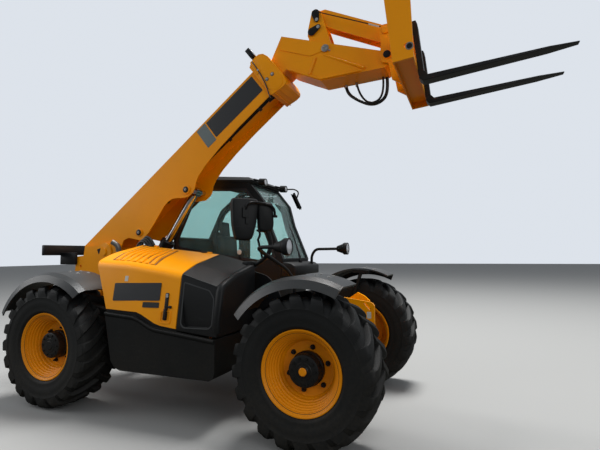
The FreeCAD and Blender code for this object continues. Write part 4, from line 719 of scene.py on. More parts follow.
# CAD pieces whose own shape stays, with their edges rounded: the rounding's width in metres, and the angle in
# degrees up to which two faces are shaded as one
SOFT_EDGES = {
    "outer_boom": (0.004, 14), "inner_boom": (0.004, 3), "front_pod": (0.010, 20), "lower_panel": (0.008, 20),
    "cab_frame": (0.008, 20), "cab_roof": (0.016, 30), "door_frame": (0.006, 20),
    "left_step_box": (0.010, 20),
    "front_cowl": (0.012, 30), "tilt_lever": (0.003, 14), "tilt_link": (0.005, 20), "carriage": (0.003, 20),
    "fork_frame": (0.003, 14), "fork_left": (0.004, 20), "fork_right": (0.004, 20), "rear_hitch": (0.004, 20),
    "chassis_frame": (0.003, 20), "console": (0.010, 30), "seat_base": (0.008, 30),
    "left_mirror": (0.006, 20),
    "engine_block": (0.012, 20), "boom_pipes": (0.001, 40),
}
for node, (width, angle) in SOFT_EDGES.items():
    softened(node, width, angle)


# Bonnet: its lower seam as x and z, its rear edge as z and x, and its ridge as x and z
SEAM = ((-0.9, 1.013), (-0.262, 0.984), (-0.045, 0.880), (0.17, 0.856))
REAR_EDGE = ((0.90, -0.610), (1.013, -0.650), (1.449, -0.858), (1.70, -0.860))
CROWN_ROWS = ((-0.88, 1.450), (-0.42, 1.427), (0.16, 1.336))
BONNET_REAR = -0.800
BONNET_FRONT = 0.160
HINGE_LINE_Y = -0.3643
BONNET_CROWN_Y = -0.78
BONNET_RIDGE_Y = -0.985
BONNET_SIDE_Y = -1.062
BONNET_WALL = 0.014
# how far along the bonnet its sections stand, closer together at the ends and where the seam bends
BONNET_STOPS = (0.0, 0.012, 0.06, 0.2, 0.35, 0.45, 0.52, 0.58, 0.64, 0.7, 0.78, 0.86, 0.93, 0.988, 1.0)
BONNET_HINGES = (-0.760, -0.060)
BONNET_HINGE_LENGTH = 0.070


def along(rows, value):
    # a value read off a line of (place, value) rows
    for (x0, v0), (x1, v1) in zip(rows, rows[1:]):
        if value <= x1 or (x1, v1) == rows[-1]:
            return v0 + (v1 - v0) * (value - x0) / (x1 - x0)


def bonnet_inner_z(x):
    # the height of the inner edge, which falls towards the front
    return 1.628 - 0.1135 * (x + 0.88)


def bonnet_heights(x):
    # z of the inner edge, the crown, the ridge and the seam
    top = bonnet_inner_z(x)
    ridge = along(CROWN_ROWS, x)
    return top, top * 0.36 + ridge * 0.64 + 0.022, ridge, along(SEAM, x)


def bonnet_top(x, y):
    top, crown, ridge, low = bonnet_heights(x)
    if y > BONNET_CROWN_Y:
        return top + (crown - top) * (y - HINGE_LINE_Y) / (BONNET_CROWN_Y - HINGE_LINE_Y)
    return crown + (ridge - crown) * (y - BONNET_CROWN_Y) / (BONNET_RIDGE_Y - BONNET_CROWN_Y)


def bonnet_section(t):
    # a closed loop of skin from the inner edge over the ridge to the seam, and back inside it
    x = BONNET_REAR + t * (BONNET_FRONT - BONNET_REAR)
    top, crown, ridge, low = bonnet_heights(x)
    outline = rounded_line([(HINGE_LINE_Y, top), (BONNET_CROWN_Y, crown), (BONNET_RIDGE_Y, ridge),
                            (BONNET_SIDE_Y, low)],
                           (0.10, 0.062), 6)
    places = []
    for p in outline:
        start = along(REAR_EDGE, p.y)
        places.append(Vector((start + t * (BONNET_FRONT - start), p.x, p.y)))
    places[-1].z = along(SEAM, places[-1].x)
    inner = []
    for index, p in enumerate(places):
        before = places[max(index - 1, 0)]
        after = places[min(index + 1, len(places) - 1)]
        run = Vector((after.y - before.y, after.z - before.z)).normalized()
        inner.append(Vector((p.x, p.y - run.y * BONNET_WALL, p.z + run.x * BONNET_WALL)))
    return [at(*p) for p in places + inner[::-1]]


def bonnet_cover():
    shape = bridged(bmesh.new(), [bonnet_section(t) for t in BONNET_STOPS])
    cover = piece("bonnet_cover", shape, YELLOW, "bonnet", 50.0)
    hinges = bmesh.new()
    for rear in BONNET_HINGES:
        front = rear + BONNET_HINGE_LENGTH
        z = bonnet_inner_z(rear)
        stub(hinges, at(rear, -0.350, z), at(front, -0.350, bonnet_inner_z(front)), 0.0135, 24, 0.002)
        rounded_bar(hinges, at(rear + 0.004, -0.380, z - 0.008), at(front - 0.004, -0.352, z + 0.002), 0.002)
    piece("bonnet_hinges", hinges, BLACK_STEEL, "bonnet")
    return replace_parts(cover, "bonnet")


LOUVRES = 7
LOUVRE_Y = (-0.425, -0.50, -0.60, -0.70, -0.76, -0.80, -0.86, -0.925)
# the louvred field's inner and outer edge: y, the rear end's x and the front end's x
LOUVRE_INNER = (-0.42, -0.767, -0.321)
LOUVRE_OUTER = (-0.93, -0.698, -0.193)
# a rib's section: x from its middle, and height over the bonnet
LOUVRE_RIB = ((-0.029, 0.003), (-0.014, 0.009), (0.008, 0.012), (0.024, 0.010))
LOUVRE_RIB_FOOT = (-0.031, 0.028, -0.004)


def louvre_x(share, y):
    # x at a share of the way from the rear to the front of the louvred field
    t = (y - LOUVRE_INNER[0]) / (LOUVRE_OUTER[0] - LOUVRE_INNER[0])
    rear, front = (a + (b - a) * t for a, b in zip(LOUVRE_INNER[1:], LOUVRE_OUTER[1:]))
    return rear + (front - rear) * share


def louvre_panel():
    shape = bmesh.new()
    loops = []
    for y in LOUVRE_Y:
        rear, front = louvre_x(-0.03, y), louvre_x(1.03, y)
        loops.append([at(rear, y, bonnet_top(rear, y) - 0.005), at(rear, y, bonnet_top(rear, y) + 0.0015),
                      at(front, y, bonnet_top(front, y) + 0.0015),
                      at(front, y, bonnet_top(front, y) - 0.005)])
    bridged(shape, loops)
    # the plate under the ribs carries the painted shade of the louvre field
    piece("louvre_plate", shape, LOUVRE_SHADE_YELLOW, "bonnet")
    ribs = bmesh.new()
    for index in range(LOUVRES):
        share = (index + 0.5) / LOUVRES
        loops = []
        for y in LOUVRE_Y:
            taper = 0.4 if y in (LOUVRE_Y[0], LOUVRE_Y[-1]) else 1.0
            x = louvre_x(share, y)
            z = bonnet_top(x, y)
            rear, front, foot = LOUVRE_RIB_FOOT
            loops.append([at(x + rear, y, z + foot)] + [at(x + dx, y, z + rise * taper) for dx,
                                                        rise in LOUVRE_RIB]
                         + [at(x + front, y, z + foot)])
        bridged(ribs, loops)
    piece("louvres", ribs, YELLOW, "bonnet", 45.0)


def side_plane_y(x, z):
    # the bonnet's side leans out from its ridge towards its seam
    ridge, low = along(CROWN_ROWS, x), along(SEAM, x)
    return BONNET_RIDGE_Y + (BONNET_SIDE_Y - BONNET_RIDGE_Y) * (ridge - z) / (ridge - low)


def on_side(a, t, b):
    # a place t outwards from the bonnet's side
    return at(a, side_plane_y(a, b) - t - 0.001, b)


# outlines on the bonnet's side in x and z, with the rounding of their corners and how far they reach in and out
SIDE_PLATES = (([(-0.578, 1.079), (-0.042, 1.094), (-0.041, 1.254), (-0.580, 1.244)], 0.012, -0.012, 0.005),
               (rectangle(-0.220, 1.030, -0.044, 1.078), 0.006, -0.012, 0.004))
LATCH = (([(0.022, 0.925), (0.058, 0.925), (0.056, 1.165), (0.020, 1.165)], 0.012, -0.004, 0.006),
         (rectangle(0.026, 0.930, 0.054, 1.030), 0.010, 0.004, 0.020))
LATCH_PULL = ((rectangle(0.027, 1.125, 0.051, 1.158), 0.004, 0.004, 0.009),)
BONNET_LABEL = ((rectangle(-0.470, 1.262, -0.432, 1.312), 0.004, -0.003, 0.0022),)
LATCH_SURROUND = rectangle(-0.018, 0.897, 0.097, 1.010)


def side_plates(table):
    shape = bmesh.new()
    for outline, cut, inner, outer in table:
        prism(shape, rounded_loop(outline, cut), inner, outer, on_side)
    return shape


def bonnet_fittings():
    piece("blank_plate", side_plates(SIDE_PLATES), PLATE_BLACK, "bonnet")
    surround = gasket(bmesh.new(), rounded_loop(LATCH_SURROUND, 0.025, 5), -0.004, 0.006, 0.010, on_side)
    piece("latch_surround", surround, YELLOW, "bonnet", 40.0)
    latch = prism(side_plates(LATCH), stadium(0.070, 1.043, 0.088, 1.040, 0.010, 0.012), -0.004, 0.010,
                  on_side)
    piece("bonnet_latch", eased(latch, 0.0015), BLACK_STEEL, "bonnet")
    piece("latch_pull", side_plates(LATCH_PULL), ZINC, "bonnet")


bonnet_cover()
louvre_panel()
bonnet_fittings()


# Lower panel's moulded lip under the bonnet and the pod

LIP_LINE = ((-0.655, 0.974), (-0.320, 0.950), (-0.240, 0.926), (-0.115, 0.866), (-0.060, 0.852),
            (0.20, 0.826), (0.562, 0.788))
LIP_SECTION = ((0.0, -1.056), (-0.002, -1.070), (-0.008, -1.077), (-0.018, -1.078), (-0.030, -1.071),
               (-0.042, -1.062),
               (-0.044, -1.054))


def lip_along(name, path, section, spot):
    # a moulding with one section, given as (outwards, across), along a line of corners in the spot's plane
    spots = [Vector(p) for p in path]
    loops = []
    for index, here in enumerate(spots):
        run = (spots[min(index + 1, len(spots) - 1)] - spots[max(index - 1, 0)]).normalized()
        out = Vector((-run.y, run.x))
        loops.append([spot(here.x + out.x * d, across, here.y + out.y * d) for d, across in section])
    piece(name, bridged(bmesh.new(), loops), PLASTIC, "chassis", 60.0)


# the wheel arch's rounded edge on the pod, from the seam over the ridge to the cab
ARCH_PATH = ((-1.030, 0.835), (-1.044, 0.900), (-0.985, 1.185), (-0.960, 1.235), (-0.900, 1.262),
             (-0.740, 1.322), (-0.350, 1.412))
ARCH_SECTION = ((-0.020, 0.528), (0.004, 0.530), (0.012, 0.542), (0.013, 0.570), (0.006, 0.590),
                (-0.012, 0.598),
                (-0.034, 0.596), (-0.040, 0.560))
# the outline of the liner beside the frame, in x and z
LINER = ((0.460, 0.70), (0.460, 1.36), (0.700, 1.29), (0.800, 1.17), (0.860, 1.04), (0.880, 0.86),
         (0.80, 0.70))
# the dark band that shows between the bonnet's edge and the lower panel
SEAM_FILLER = ((-0.655, 0.930), (-0.645, 1.035), (-0.262, 1.005), (-0.045, 0.902), (0.163, 0.878),
               (0.163, 0.82),
               (-0.111, 0.850), (-0.300, 0.930))
POD_PANEL = ((0.203, 0.900), (0.198, 1.268), (0.468, 1.197), (0.521, 1.124), (0.526, 0.900), (0.494, 0.866),
             (0.238, 0.866))
POD_LINES = (("pod_ridge", ((0.178, -0.983, 1.334), (0.370, -0.978, 1.277), (0.535, -0.974, 1.228))),
             ("pod_rear_edge", ((0.176, -0.975, 1.338), (0.176, -0.760, 1.424), (0.176, -0.380, 1.506))))


def pod_side(x, out, z):
    # the pod's side face, which leans as the bonnet's does and draws in towards the front
    t = (x - 0.166) / 0.406
    ridge_y, ridge_z, low_y = -0.985 + 0.010 * t, 1.336 - 0.121 * t, -1.060 + 0.020 * t
    return at(x, ridge_y + (low_y - ridge_y) * (ridge_z - z) / (ridge_z - 0.872) - out, z)


def pod_edges():
    # the paler rubbed edges of the pod: its ridge, its rear edge and the rim of its sunk panel
    shape = gasket(bmesh.new(), rounded_loop(POD_PANEL, 0.020), -0.004, 0.0015, 0.010, pod_side)
    piece("pod_panel_rim", shape, WORN_PLASTIC, "chassis")
    for name, route in POD_LINES:
        tube_line(name, [at(*p) for p in route], 0.0045, WORN_PLASTIC, "chassis")


lip_along("seam_lip", LIP_LINE, LIP_SECTION, at)
pod_edges()
piece("seam_filler", prism(bmesh.new(), SEAM_FILLER, -1.0475, -1.036), PLASTIC, "chassis")
lip_along("arch_lip", ARCH_PATH, ARCH_SECTION, lambda y, x, z: at(x, y, z))
piece("arch_liner", prism(bmesh.new(), rounded_loop(LINER, 0.06), -0.306, -0.290), PLASTIC, "chassis")


# Boom and its head: outlines along the boom and up from its axis

COLLAR_Y = 0.208
DOUBLER = ((2.797, 0.255), (2.838, 0.345), (2.905, 0.385), (2.958, 0.352), (2.988, 0.270), (2.992, 0.010),
           (2.955, -0.078),
           (2.850, -0.088), (2.797, -0.020))
COLLAR_BOLTS = ((2.922, 0.089), (2.844, 0.091))
CABLE = ((2.841, 0.372), (2.838, 0.300), (2.832, 0.244), (2.822, 0.150), (2.792, 0.020), (2.757, -0.070),
         (2.753, -0.110))
BRACKET = ((2.865, 0.385), (2.815, 0.385), (2.790, 0.215), (2.850, 0.215))
COLLAR_RIBS = (2.820, 2.880, 2.940)
# the work lamp's block, post and foot, and how far they reach across the boom
LAMP_BLOCKS = ((rectangle(2.850, 0.425, 2.905, 0.545), -0.205, -0.135),
               (rectangle(2.865, 0.385, 2.890, 0.430), -0.180, -0.160),
               (rectangle(2.865, 0.380, 2.945, 0.392), -0.190, -0.150))
LAMP_WINDOW = rectangle(2.902, 0.431, 2.9085, 0.539)
BOOM_SIDE_Y = 0.180
PANEL_PROUD = 0.002
DARK_PANEL = rectangle(1.999, 0.053, 2.733, 0.276)
GREY_PANEL = rectangle(1.847, 0.031, 1.984, 0.286)


def on_both_sides(shape, outline, face, inner, outer, spot=at):
    # a plate on each side of the machine, its outline sunk by inner and proud by outer
    for side in (-1, 1):
        prism(shape, outline, side * (face - inner), side * (face + outer), spot)
    return shape


def boom_panels():
    for name, outline, finish in (("blank_dark", DARK_PANEL, PLATE_BLACK), ("blank_grey", GREY_PANEL, PLATE_GREY)):
        shape = on_both_sides(bmesh.new(), rounded_loop(outline, 0.006), BOOM_SIDE_Y, PANEL_PROUD,
                              PANEL_PROUD, on_boom)
        piece(name, shape, finish, "boom")


def collar_details():
    plates, heads, recess_shades = bmesh.new(), bmesh.new(), bmesh.new()
    for side in (-1, 1):
        face = side * COLLAR_Y
        prism(plates, rounded_loop(DOUBLER, 0.03), face - side * 0.002, face + side * 0.004, on_boom)
        prism(plates, rounded_loop(BRACKET, 0.012), face - side * 0.002, face + side * 0.007, on_boom)
        for u, w in COLLAR_BOLTS:
            # each bolt stands on a black disc, painted as the shade of a recess round its head
            stub(recess_shades, on_boom(u, face + side * 0.003, w), on_boom(u, face + side * 0.005, w), 0.021, 20)
            bolt(heads, on_boom(u, face + side * 0.004, w), (0, side, 0), 0.011, 0.012)
    for u in COLLAR_RIBS:
        prism(plates, rectangle(u - 0.004, -0.105, u + 0.004, -0.070), 0.012 - COLLAR_Y, COLLAR_Y - 0.012,
              on_boom)
    piece("collar_plates", eased(plates, 0.0015), YELLOW, "boom")
    # black discs: the painted shade of the recesses round the collar bolts
    piece("collar_recess_shades", recess_shades, BLACK_STEEL, "boom")
    bolt(heads, on_boom(2.832, -COLLAR_Y - 0.001, 0.244), (0, -1, 0), 0.012, 0.016)
    piece("collar_bolts", heads, ZINC, "boom")
    tube_line("lamp_cable", [on_boom(u, -COLLAR_Y - 0.009, w) for u, w in CABLE], 0.006, HOSE_RUBBER, "boom")
    lamp = bmesh.new()
    for outline, low, high in LAMP_BLOCKS:
        prism(lamp, outline, low, high, on_boom)
    piece("boom_lamp", eased(lamp, 0.005), PLASTIC, "boom")
    face = prism(bmesh.new(), LAMP_WINDOW, -0.200, -0.140, on_boom)
    piece("boom_lamp_face", eased(face, 0.002), REFLECTOR, "boom")


# Lock plates with one bolt each: the pin's place, and where the bolt lies from it, in x and z
LOCK_PLATES = ((1.163, 4.022, 0.013, -0.068), (1.121, 3.833, 0.070, 0.040))
LEVER_PIVOT = (1.276, 3.612)


def lever_details():
    plates, heads = bmesh.new(), bmesh.new()
    for side in (-1, 1):
        for x, z, dx, dz in LOCK_PLATES:
            prism(plates, stadium(x, z, x + dx, z + dz, 0.044, 0.027), side * 0.1180, side * 0.1245)
            stub(plates, at(x, side * 0.118, z), at(x, side * 0.1265, z), 0.026, 28, 0.001)
            bolt(heads, at(x + dx, side * 0.1240, z + dz), (0, side, 0), 0.012, 0.003)
    piece("lever_locks", eased(plates, 0.0015), BLACK_STEEL, "tilt_lever")
    piece("lever_lock_bolts", heads, ZINC, "tilt_lever")
    ends, rings = bmesh.new(), bmesh.new()
    x, z = LEVER_PIVOT
    for side in (-1, 1):
        stub(rings, at(x, side * 0.150, z), at(x, side * 0.158, z), 0.040, 32, 0.003)
        for dx, dz in ((-0.016, 0.012), (0.016, -0.012)):
            bolt(ends, at(x + dx, side * 0.157, z + dz), (0, side, 0), 0.008, 0.010)
        bolt(ends, at(1.318, side * 0.141, 3.588), (0, side, 0), 0.007, 0.010)
    piece("lever_pivot_rings", rings, PIPE_STEEL, "boom_extension")
    piece("lever_pivot_bolts", ends, ZINC, "boom_extension")


# pin heads on the carriage's sides, and a black disc painted in the frame's hole as its shade: x and z, from y to y,
# radius, sides of the round and its rim's rounding
FRAME_HOLE = (2.178, 3.235)
DARK_HEADS_AND_HOLE_SHADE = ((*FRAME_HOLE, 0.6425, 0.6455, 0.026, 24, 0.0), (1.911, 3.415, 0.190, 0.199, 0.037, 32, 0.004))
YELLOW_HEADS = ((1.900, 3.660, 0.176, 0.193, 0.034, 32, 0.003),
                (1.972, 3.545, 0.176, 0.181, 0.014, 24, 0.001))


def carriage_details():
    dark, rings = bmesh.new(), bmesh.new()
    for side in (-1, 1):
        for shape, table in ((dark, DARK_HEADS_AND_HOLE_SHADE), (rings, YELLOW_HEADS)):
            for x, z, inner, outer, radius, rounds, lip in table:
                stub(shape, at(x, side * inner, z), at(x, side * outer, z), radius, rounds, lip)
    x, z = FRAME_HOLE
    hole_ring = gasket(bmesh.new(), stadium(x, z, x + 0.0001, z, 0.034, 0.034), -0.6465, -0.6445, 0.010)
    piece("frame_hole_ring", hole_ring, PIPE_STEEL, "carriage")
    # black pin heads, and the black disc in the frame's hole painted as the hole's shade
    piece("carriage_pin_heads_and_hole_shade", dark, BLACK_STEEL, "carriage")
    piece("carriage_pin_rings", rings, YELLOW, "carriage")


# the lower edge of the nose's side plates, and the groove and slot of the link, in x and z; the groove is a black
# strip painted as the groove's shade
NOSE_EDGE = ((0.885, 3.448), (1.060, 3.360), (1.221, 3.291), (1.640, 3.308))
NOSE_CREASES = (((1.165, 3.535), (1.102, 3.372)), ((1.262, 3.545), (1.680, 3.337)))
LINK_GROOVE = ((1.215, 4.010), (1.870, 3.712))
LINK_SLOT = ((1.728, 3.775), (1.833, 3.726))


def nose_details():
    nose_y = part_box("inner_boom")[1][1]
    link_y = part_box("tilt_link")[1][1]
    for side in (-1, 1):
        for index, ((x0, z0), (x1, z1)) in enumerate(NOSE_CREASES):
            name = "nose_crease_" + ("left_" if side > 0 else "right_") + str(index + 1)
            y = side * (nose_y - 0.010)
            route = [at(x0, y, z0), at((x0 + x1) / 2, y, (z0 + z1) / 2), at(x1, y, z1)]
            tube_line(name, route, 0.0135, YELLOW, "boom_extension")
    rows = list(NOSE_EDGE) + [(x, z + 0.016) for x, z in reversed(NOSE_EDGE)]
    lips = on_both_sides(bmesh.new(), rows, nose_y, 0.003, 0.005)
    groove, slot = bmesh.new(), bmesh.new()
    for shape, ((x0, z0), (x1, z1)), half, proud in ((groove, LINK_GROOVE, 0.005, 0.0015),
                                                     (slot, LINK_SLOT, 0.009, 0.003)):
        on_both_sides(shape, [(x0, z0 - half), (x1, z1 - half), (x1, z1 + half), (x0, z0 + half)], link_y,
                      0.002, proud)
    piece("nose_edge_lips", eased(lips, 0.002), YELLOW, "boom_extension")
    # a black strip painted as the shade in the link's groove
    piece("link_groove_shades", groove, BLACK_STEEL, "tilt_link")
    piece("link_slots", slot, LABEL, "tilt_link")


DISC_PROFILE = ((0.0, 0.006), (0.022, 0.006), (0.029, 0.003), (0.030, -0.002), (0.0, -0.002))


def frame_hoses():
    # the bundle that crosses from the frame to the engine beside the boom, and the pale disc by the cab's wall
    for index in range(4):
        rise = 0.03 * index
        route = [(-1.06 + rise, -0.285, 1.30), (-1.03 + rise, -0.290, 1.56 + rise),
                 (-0.93 + rise, -0.300, 1.69 + rise * 0.6),
                 (-0.80 + rise, -0.310, 1.60), (-0.74 + rise, -0.315, 1.42)]
        tube_line("frame_hose_" + str(index + 1), [at(*p) for p in route], 0.014, HOSE_RUBBER, "chassis")
    block = bmesh.new()
    rounded_bar(block, at(-0.96, -0.322, 1.46), at(-0.80, -0.262, 1.625), 0.006)
    piece("hose_block", block, BLACK_STEEL, "chassis")
    disc = spun(turned(bmesh.new(), DISC_PROFILE, 32, closed=False), math.pi, "X")
    piece("side_reflector", placed(disc, at(0.040, 0.262, 1.537)), LABEL, "chassis")
    stem = rounded_bar(bmesh.new(), at(0.030, 0.264, 1.440), at(0.050, 0.272, 1.536), 0.001)
    piece("reflector_stem", stem, BLACK_STEEL, "chassis")


# x and z of the hoses under the nose: the CAD hose's own route, and a thinner one that joins it
HOSE_Y = 0.112
THIN_Y = HOSE_Y - 0.030
HOSE_ROUTE = ((1.420, 3.262), (1.420, 3.215), (1.560, 3.105), (1.700, 3.040), (1.822, 3.082), (1.862, 3.190),
              (1.855, 3.262))
THIN_ROUTE = ((1.543, 3.290), (1.560, 3.200), (1.625, 3.090), (1.705, 3.052), (1.790, 3.085), (1.825, 3.200),
              (1.820, 3.305))
# between these places the hoses pass from the boom's nose to the carriage
BOOM_HOSE_Y = (-0.128, -0.096, -0.064, -0.032)
# each lift-ram ear's pin, along the boom and up from its axis
EAR_PINS = ((1.339, -0.153), (0.521, -0.117))


def nose_hoses():
    # the thicker hose starts and ends as high as the CAD hose, just under the nose's floor
    route = [at(x, HOSE_Y, z) for x, z in HOSE_ROUTE]
    route[0].z = route[-1].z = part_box("nose_hose")[1][2]
    main = tube_line("nose_hose_cover", route, 0.017, SPIRAL_RUBBER)
    thin = tube_line("nose_hose_thin", [at(x, THIN_Y, z) for x, z in THIN_ROUTE], 0.011, HOSE_RUBBER)
    for hose in (main, thin):
        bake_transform(hose)
    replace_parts(main, "nose_hose")
    ends = bmesh.new()
    stub(ends, route[0] + Vector((0, 0, -0.045)), route[0] + Vector((0, 0, -0.002)), 0.021, 6, 0.002)
    stub(ends, at(1.545, THIN_Y, 3.250), at(1.543, THIN_Y, 3.294), 0.014, 6, 0.002)
    piece("hose_ends", ends, ZINC, "boom_extension")


def boom_hoses():
    # from the pipes' ends under the floor round into the boom's mouth
    for index, y in enumerate(BOOM_HOSE_Y):
        drop = 0.012 * (index % 2)
        route = [(2.690, y, -0.0135), (2.745, y, -0.0135), (2.800, y, -0.030 - drop),
                 (2.835, y + 0.02, -0.010 - drop),
                 (2.800, y + 0.03, 0.018 + drop), (2.760, y + 0.03, 0.036)]
        tube_line("boom_hose_" + str(index + 1), [on_boom(u, v, w) for u, v, w in route], 0.010, HOSE_RUBBER,
                  "boom")


def ear_details():
    heads, dark = bmesh.new(), bmesh.new()
    for u, w in EAR_PINS:
        for side in (-1, 1):
            stub(dark, on_boom(u, side * 0.195, w), on_boom(u, side * 0.201, w), 0.036, 32, 0.003)
            bolt(heads, on_boom(u, side * 0.200, w), (0, side, 0), 0.010, 0.012)
    piece("ear_pin_heads", dark, BLACK_STEEL, "boom")
    piece("ear_pin_bolts", heads, ZINC, "boom")


# Lamps and mirrors

HEADLAMP = (1.189, 0.9, 1.571)
HEADLAMP_R = 0.068
DRUM_PROFILE = ((0.058, 0.0), (0.0735, 0.004), (0.0735, -0.040), (0.066, -0.052), (0.050, -0.056))
# name, place and radius of each lamp's face
LAMP_FACES = (("headlamp_right", (HEADLAMP[0], -HEADLAMP[1], HEADLAMP[2]), HEADLAMP_R),
              ("headlamp_left", HEADLAMP, HEADLAMP_R),
              ("roof_lamp_right", (0.345, 0.35, 2.366), 0.042),
              ("roof_lamp_left", (0.345, 0.95, 2.366), 0.042))
# radius as a share of the lamp's, and how far the point stands forward
LENS_PROFILE = ((0.0, 0.006), (0.5, 0.0048), (0.8, 0.0028), (0.93, 0.0), (0.0, -0.002))
LAMP_RIM_PROFILE = ((0.92, -0.004), (1.06, -0.004), (1.06, 0.004), (0.98, 0.007), (0.92, 0.004))


def facing_forward(profile, radius, steps, closed=True):
    # a round form that looks along the machine
    shape = turned(bmesh.new(), [(radius * share, forward) for share, forward in profile], steps, closed)
    return spun(shape, -math.pi / 2, "Z")


def lamp_face(name, place, radius):
    # a clear lens in a black ring
    lens = placed(facing_forward(LENS_PROFILE, radius, 40, closed=False), at(*place))
    piece(name + "_lens", lens, REFLECTOR, "chassis", 60.0)
    piece(name + "_rim", placed(facing_forward(LAMP_RIM_PROFILE, radius, 40), at(*place)), BLACK_STEEL,
          "chassis")


MIRROR_ROWS = ((0.500, 1.668), (0.520, 1.645), (0.645, 1.640), (0.680, 1.668), (0.715, 1.800), (0.735, 1.980),
               (0.728, 2.045),
               (0.480, 2.050), (0.466, 2.010), (0.474, 1.800))
SECOND_ROWS = ((0.672, 1.760), (0.690, 1.724), (0.800, 1.718), (0.832, 1.775), (0.828, 1.985), (0.805, 2.016),
               (0.682, 2.020),
               (0.660, 1.990))
MIRROR_TURN = math.radians(42.0)
# the larger mirror's clamp: its pad and its neck, outline and reach along the mirror's own axis
MIRROR_CLAMP = ((rectangle(0.570, 1.860, 0.630, 1.960), 0.012, -0.668),
                (rectangle(0.602, 1.800, 0.630, 1.862), 0.006, -0.660))
MIRROR_BAND = rectangle(0.492, 1.768, 0.716, 1.773)
# the tubes' routes, each point with the mirror, or none, that it turns with
ARM_ROUTE = (("main", 0.600, -0.655, 1.930), ("main", 0.604, -0.690, 1.985), ("main", 0.660, -0.690, 2.005),
             ("second", 0.700, -0.500, 2.000), ("second", 0.790, -0.500, 1.985),
             ("second", 0.835, -0.490, 1.940),
             ("second", 0.838, -0.470, 1.890))
HOOK_ROUTE = (("second", 0.655, -0.470, 1.735), ("second", 0.668, -0.475, 1.742),
              ("second", 0.684, -0.475, 1.725),
              ("second", 0.690, -0.470, 1.690), ("second", 0.668, -0.470, 1.650))
STALK_ROUTE = (("second", 0.760, -0.452, 1.760), ("second", 0.790, -0.450, 1.680),
               ("second", 0.805, -0.445, 1.600),
               ("none", 0.760, -0.420, 1.500), ("none", 0.640, -0.390, 1.425), ("none", 0.555, -0.380, 1.385))
LEFT_MIRROR = ((0.4275, 2.293), (0.4305, 2.294), (0.5215, 2.100), (0.5185, 2.098))


def turned_about(x0, y0, angle):
    # a spot that turns each place about an upright axis
    c, s = math.cos(angle), math.sin(angle)
    return lambda a, t, b: at(x0 + (a - x0) * c - (t - y0) * s, y0 + (a - x0) * s + (t - y0) * c, b)


def mirror_shell(shape, rows, back, face, spot, crown=0.012):
    # a moulded housing, its back drawn in and crowned
    loops = [(rounded_loop(rows, 0.035, 5), face), (rounded_loop(rows, 0.035, 5),
                                                    face - (face - back) * 0.45),
             (rounded_loop(inset_loop(list(rows), crown), 0.035, 5), back + 0.006),
             (rounded_loop(inset_loop(list(rows), crown * 2.2), 0.030, 5), back)]
    return bridged(shape, [[spot(a, t, b) for a, b in loop] for loop, t in loops])


def right_mirrors():
    spots = {"main": turned_about(0.600, -0.610, MIRROR_TURN),
             "second": turned_about(0.751, -0.458, MIRROR_TURN),
             "none": at}
    main, second = spots["main"], spots["second"]
    shells = mirror_shell(bmesh.new(), MIRROR_ROWS, -0.640, -0.582, main)
    mirror_shell(shells, SECOND_ROWS, -0.478, -0.433, second)
    for outline, cut, back in MIRROR_CLAMP:
        prism(shells, rounded_loop(outline, cut), back, -0.636, main)
    prism(shells, MIRROR_BAND, -0.6425, -0.636, main)
    stub(shells, second(0.820, -0.470, 1.880), second(0.862, -0.470, 1.880), 0.014, 20, 0.003)
    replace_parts(piece("mirror_housings", shells, PLASTIC, "chassis", 40.0), "right_mirrors")
    faces = bmesh.new()
    prism(faces, rounded_loop(inset_loop(list(MIRROR_ROWS), 0.014), 0.030, 5), -0.584, -0.5795, main)
    prism(faces, rounded_loop(inset_loop(list(SECOND_ROWS), 0.012), 0.026, 5), -0.435, -0.4315, second)
    piece("mirror_glass", faces, MIRROR, "chassis")
    for name, route, radius, finish in (("mirror_arm", ARM_ROUTE, 0.012, BLACK_STEEL),
                                        ("mirror_hook", HOOK_ROUTE, 0.011, BLACK_STEEL),
                                        ("mirror_stalk", STALK_ROUTE, 0.022, PLASTIC)):
        tube_line(name, [spots[turn](x, y, z) for turn, x, y, z in route], radius, finish, "chassis")
    foot = rounded_bar(bmesh.new(), at(0.470, -0.430, 1.380), at(0.590, -0.346, 1.440), 0.010)
    stub(foot, second(0.668, -0.470, 1.655), at(0.700, -0.440, 1.480), 0.011, 16)
    piece("mirror_foot", foot, PLASTIC, "chassis")


# Cab trim

RIGHT_WINDOW = ((-0.880, 1.590), (-0.880, 1.700), (-0.690, 2.090), (-0.400, 2.320), (0.120, 2.290),
                (0.275, 2.110), (0.345, 1.860),
                (0.425, 1.670), (0.500, 1.480), (0.300, 1.420), (-0.300, 1.500))
DOOR_WINDOW = ((-0.290, 1.180), (0.425, 1.180), (0.450, 1.440), (0.372, 1.650), (0.292, 1.840),
               (0.232, 2.075), (0.105, 2.232),
               (-0.290, 2.262))
QUARTER = ((-0.880, 1.500), (-0.880, 1.700), (-0.690, 2.090), (-0.430, 2.300), (-0.420, 1.500))
WIPER_ARM = ((0.668, 0.640, 1.438), (0.640, 0.650, 1.500), (0.560, 0.720, 1.720), (0.505, 0.760, 1.800))


def window_trim():
    shape = bmesh.new()
    for rows, low, high in ((RIGHT_WINDOW, 0.2745, 0.2900), (QUARTER, 1.0900, 1.1030)):
        gasket(shape, inset_loop(list(rows), -0.006), low, high, 0.030)
    piece("window_gaskets", shape, HOSE_RUBBER, "chassis", 30.0)
    door = gasket(bmesh.new(), inset_loop(list(DOOR_WINDOW), -0.006), 1.0800, 1.1030, 0.028)
    piece("door_gasket", door, HOSE_RUBBER, "cab_door", 30.0)
    bar = bmesh.new()
    stub(bar, at(0.395, 1.106, 1.250), at(0.330, 1.106, 1.640), 0.011, 20, 0.002)
    for x, z in ((0.395, 1.262), (0.332, 1.628)):
        stub(bar, at(x, 1.098, z), at(x, 1.108, z), 0.014, 20)
    piece("door_grab_rail", bar, BLACK_STEEL, "cab_door")


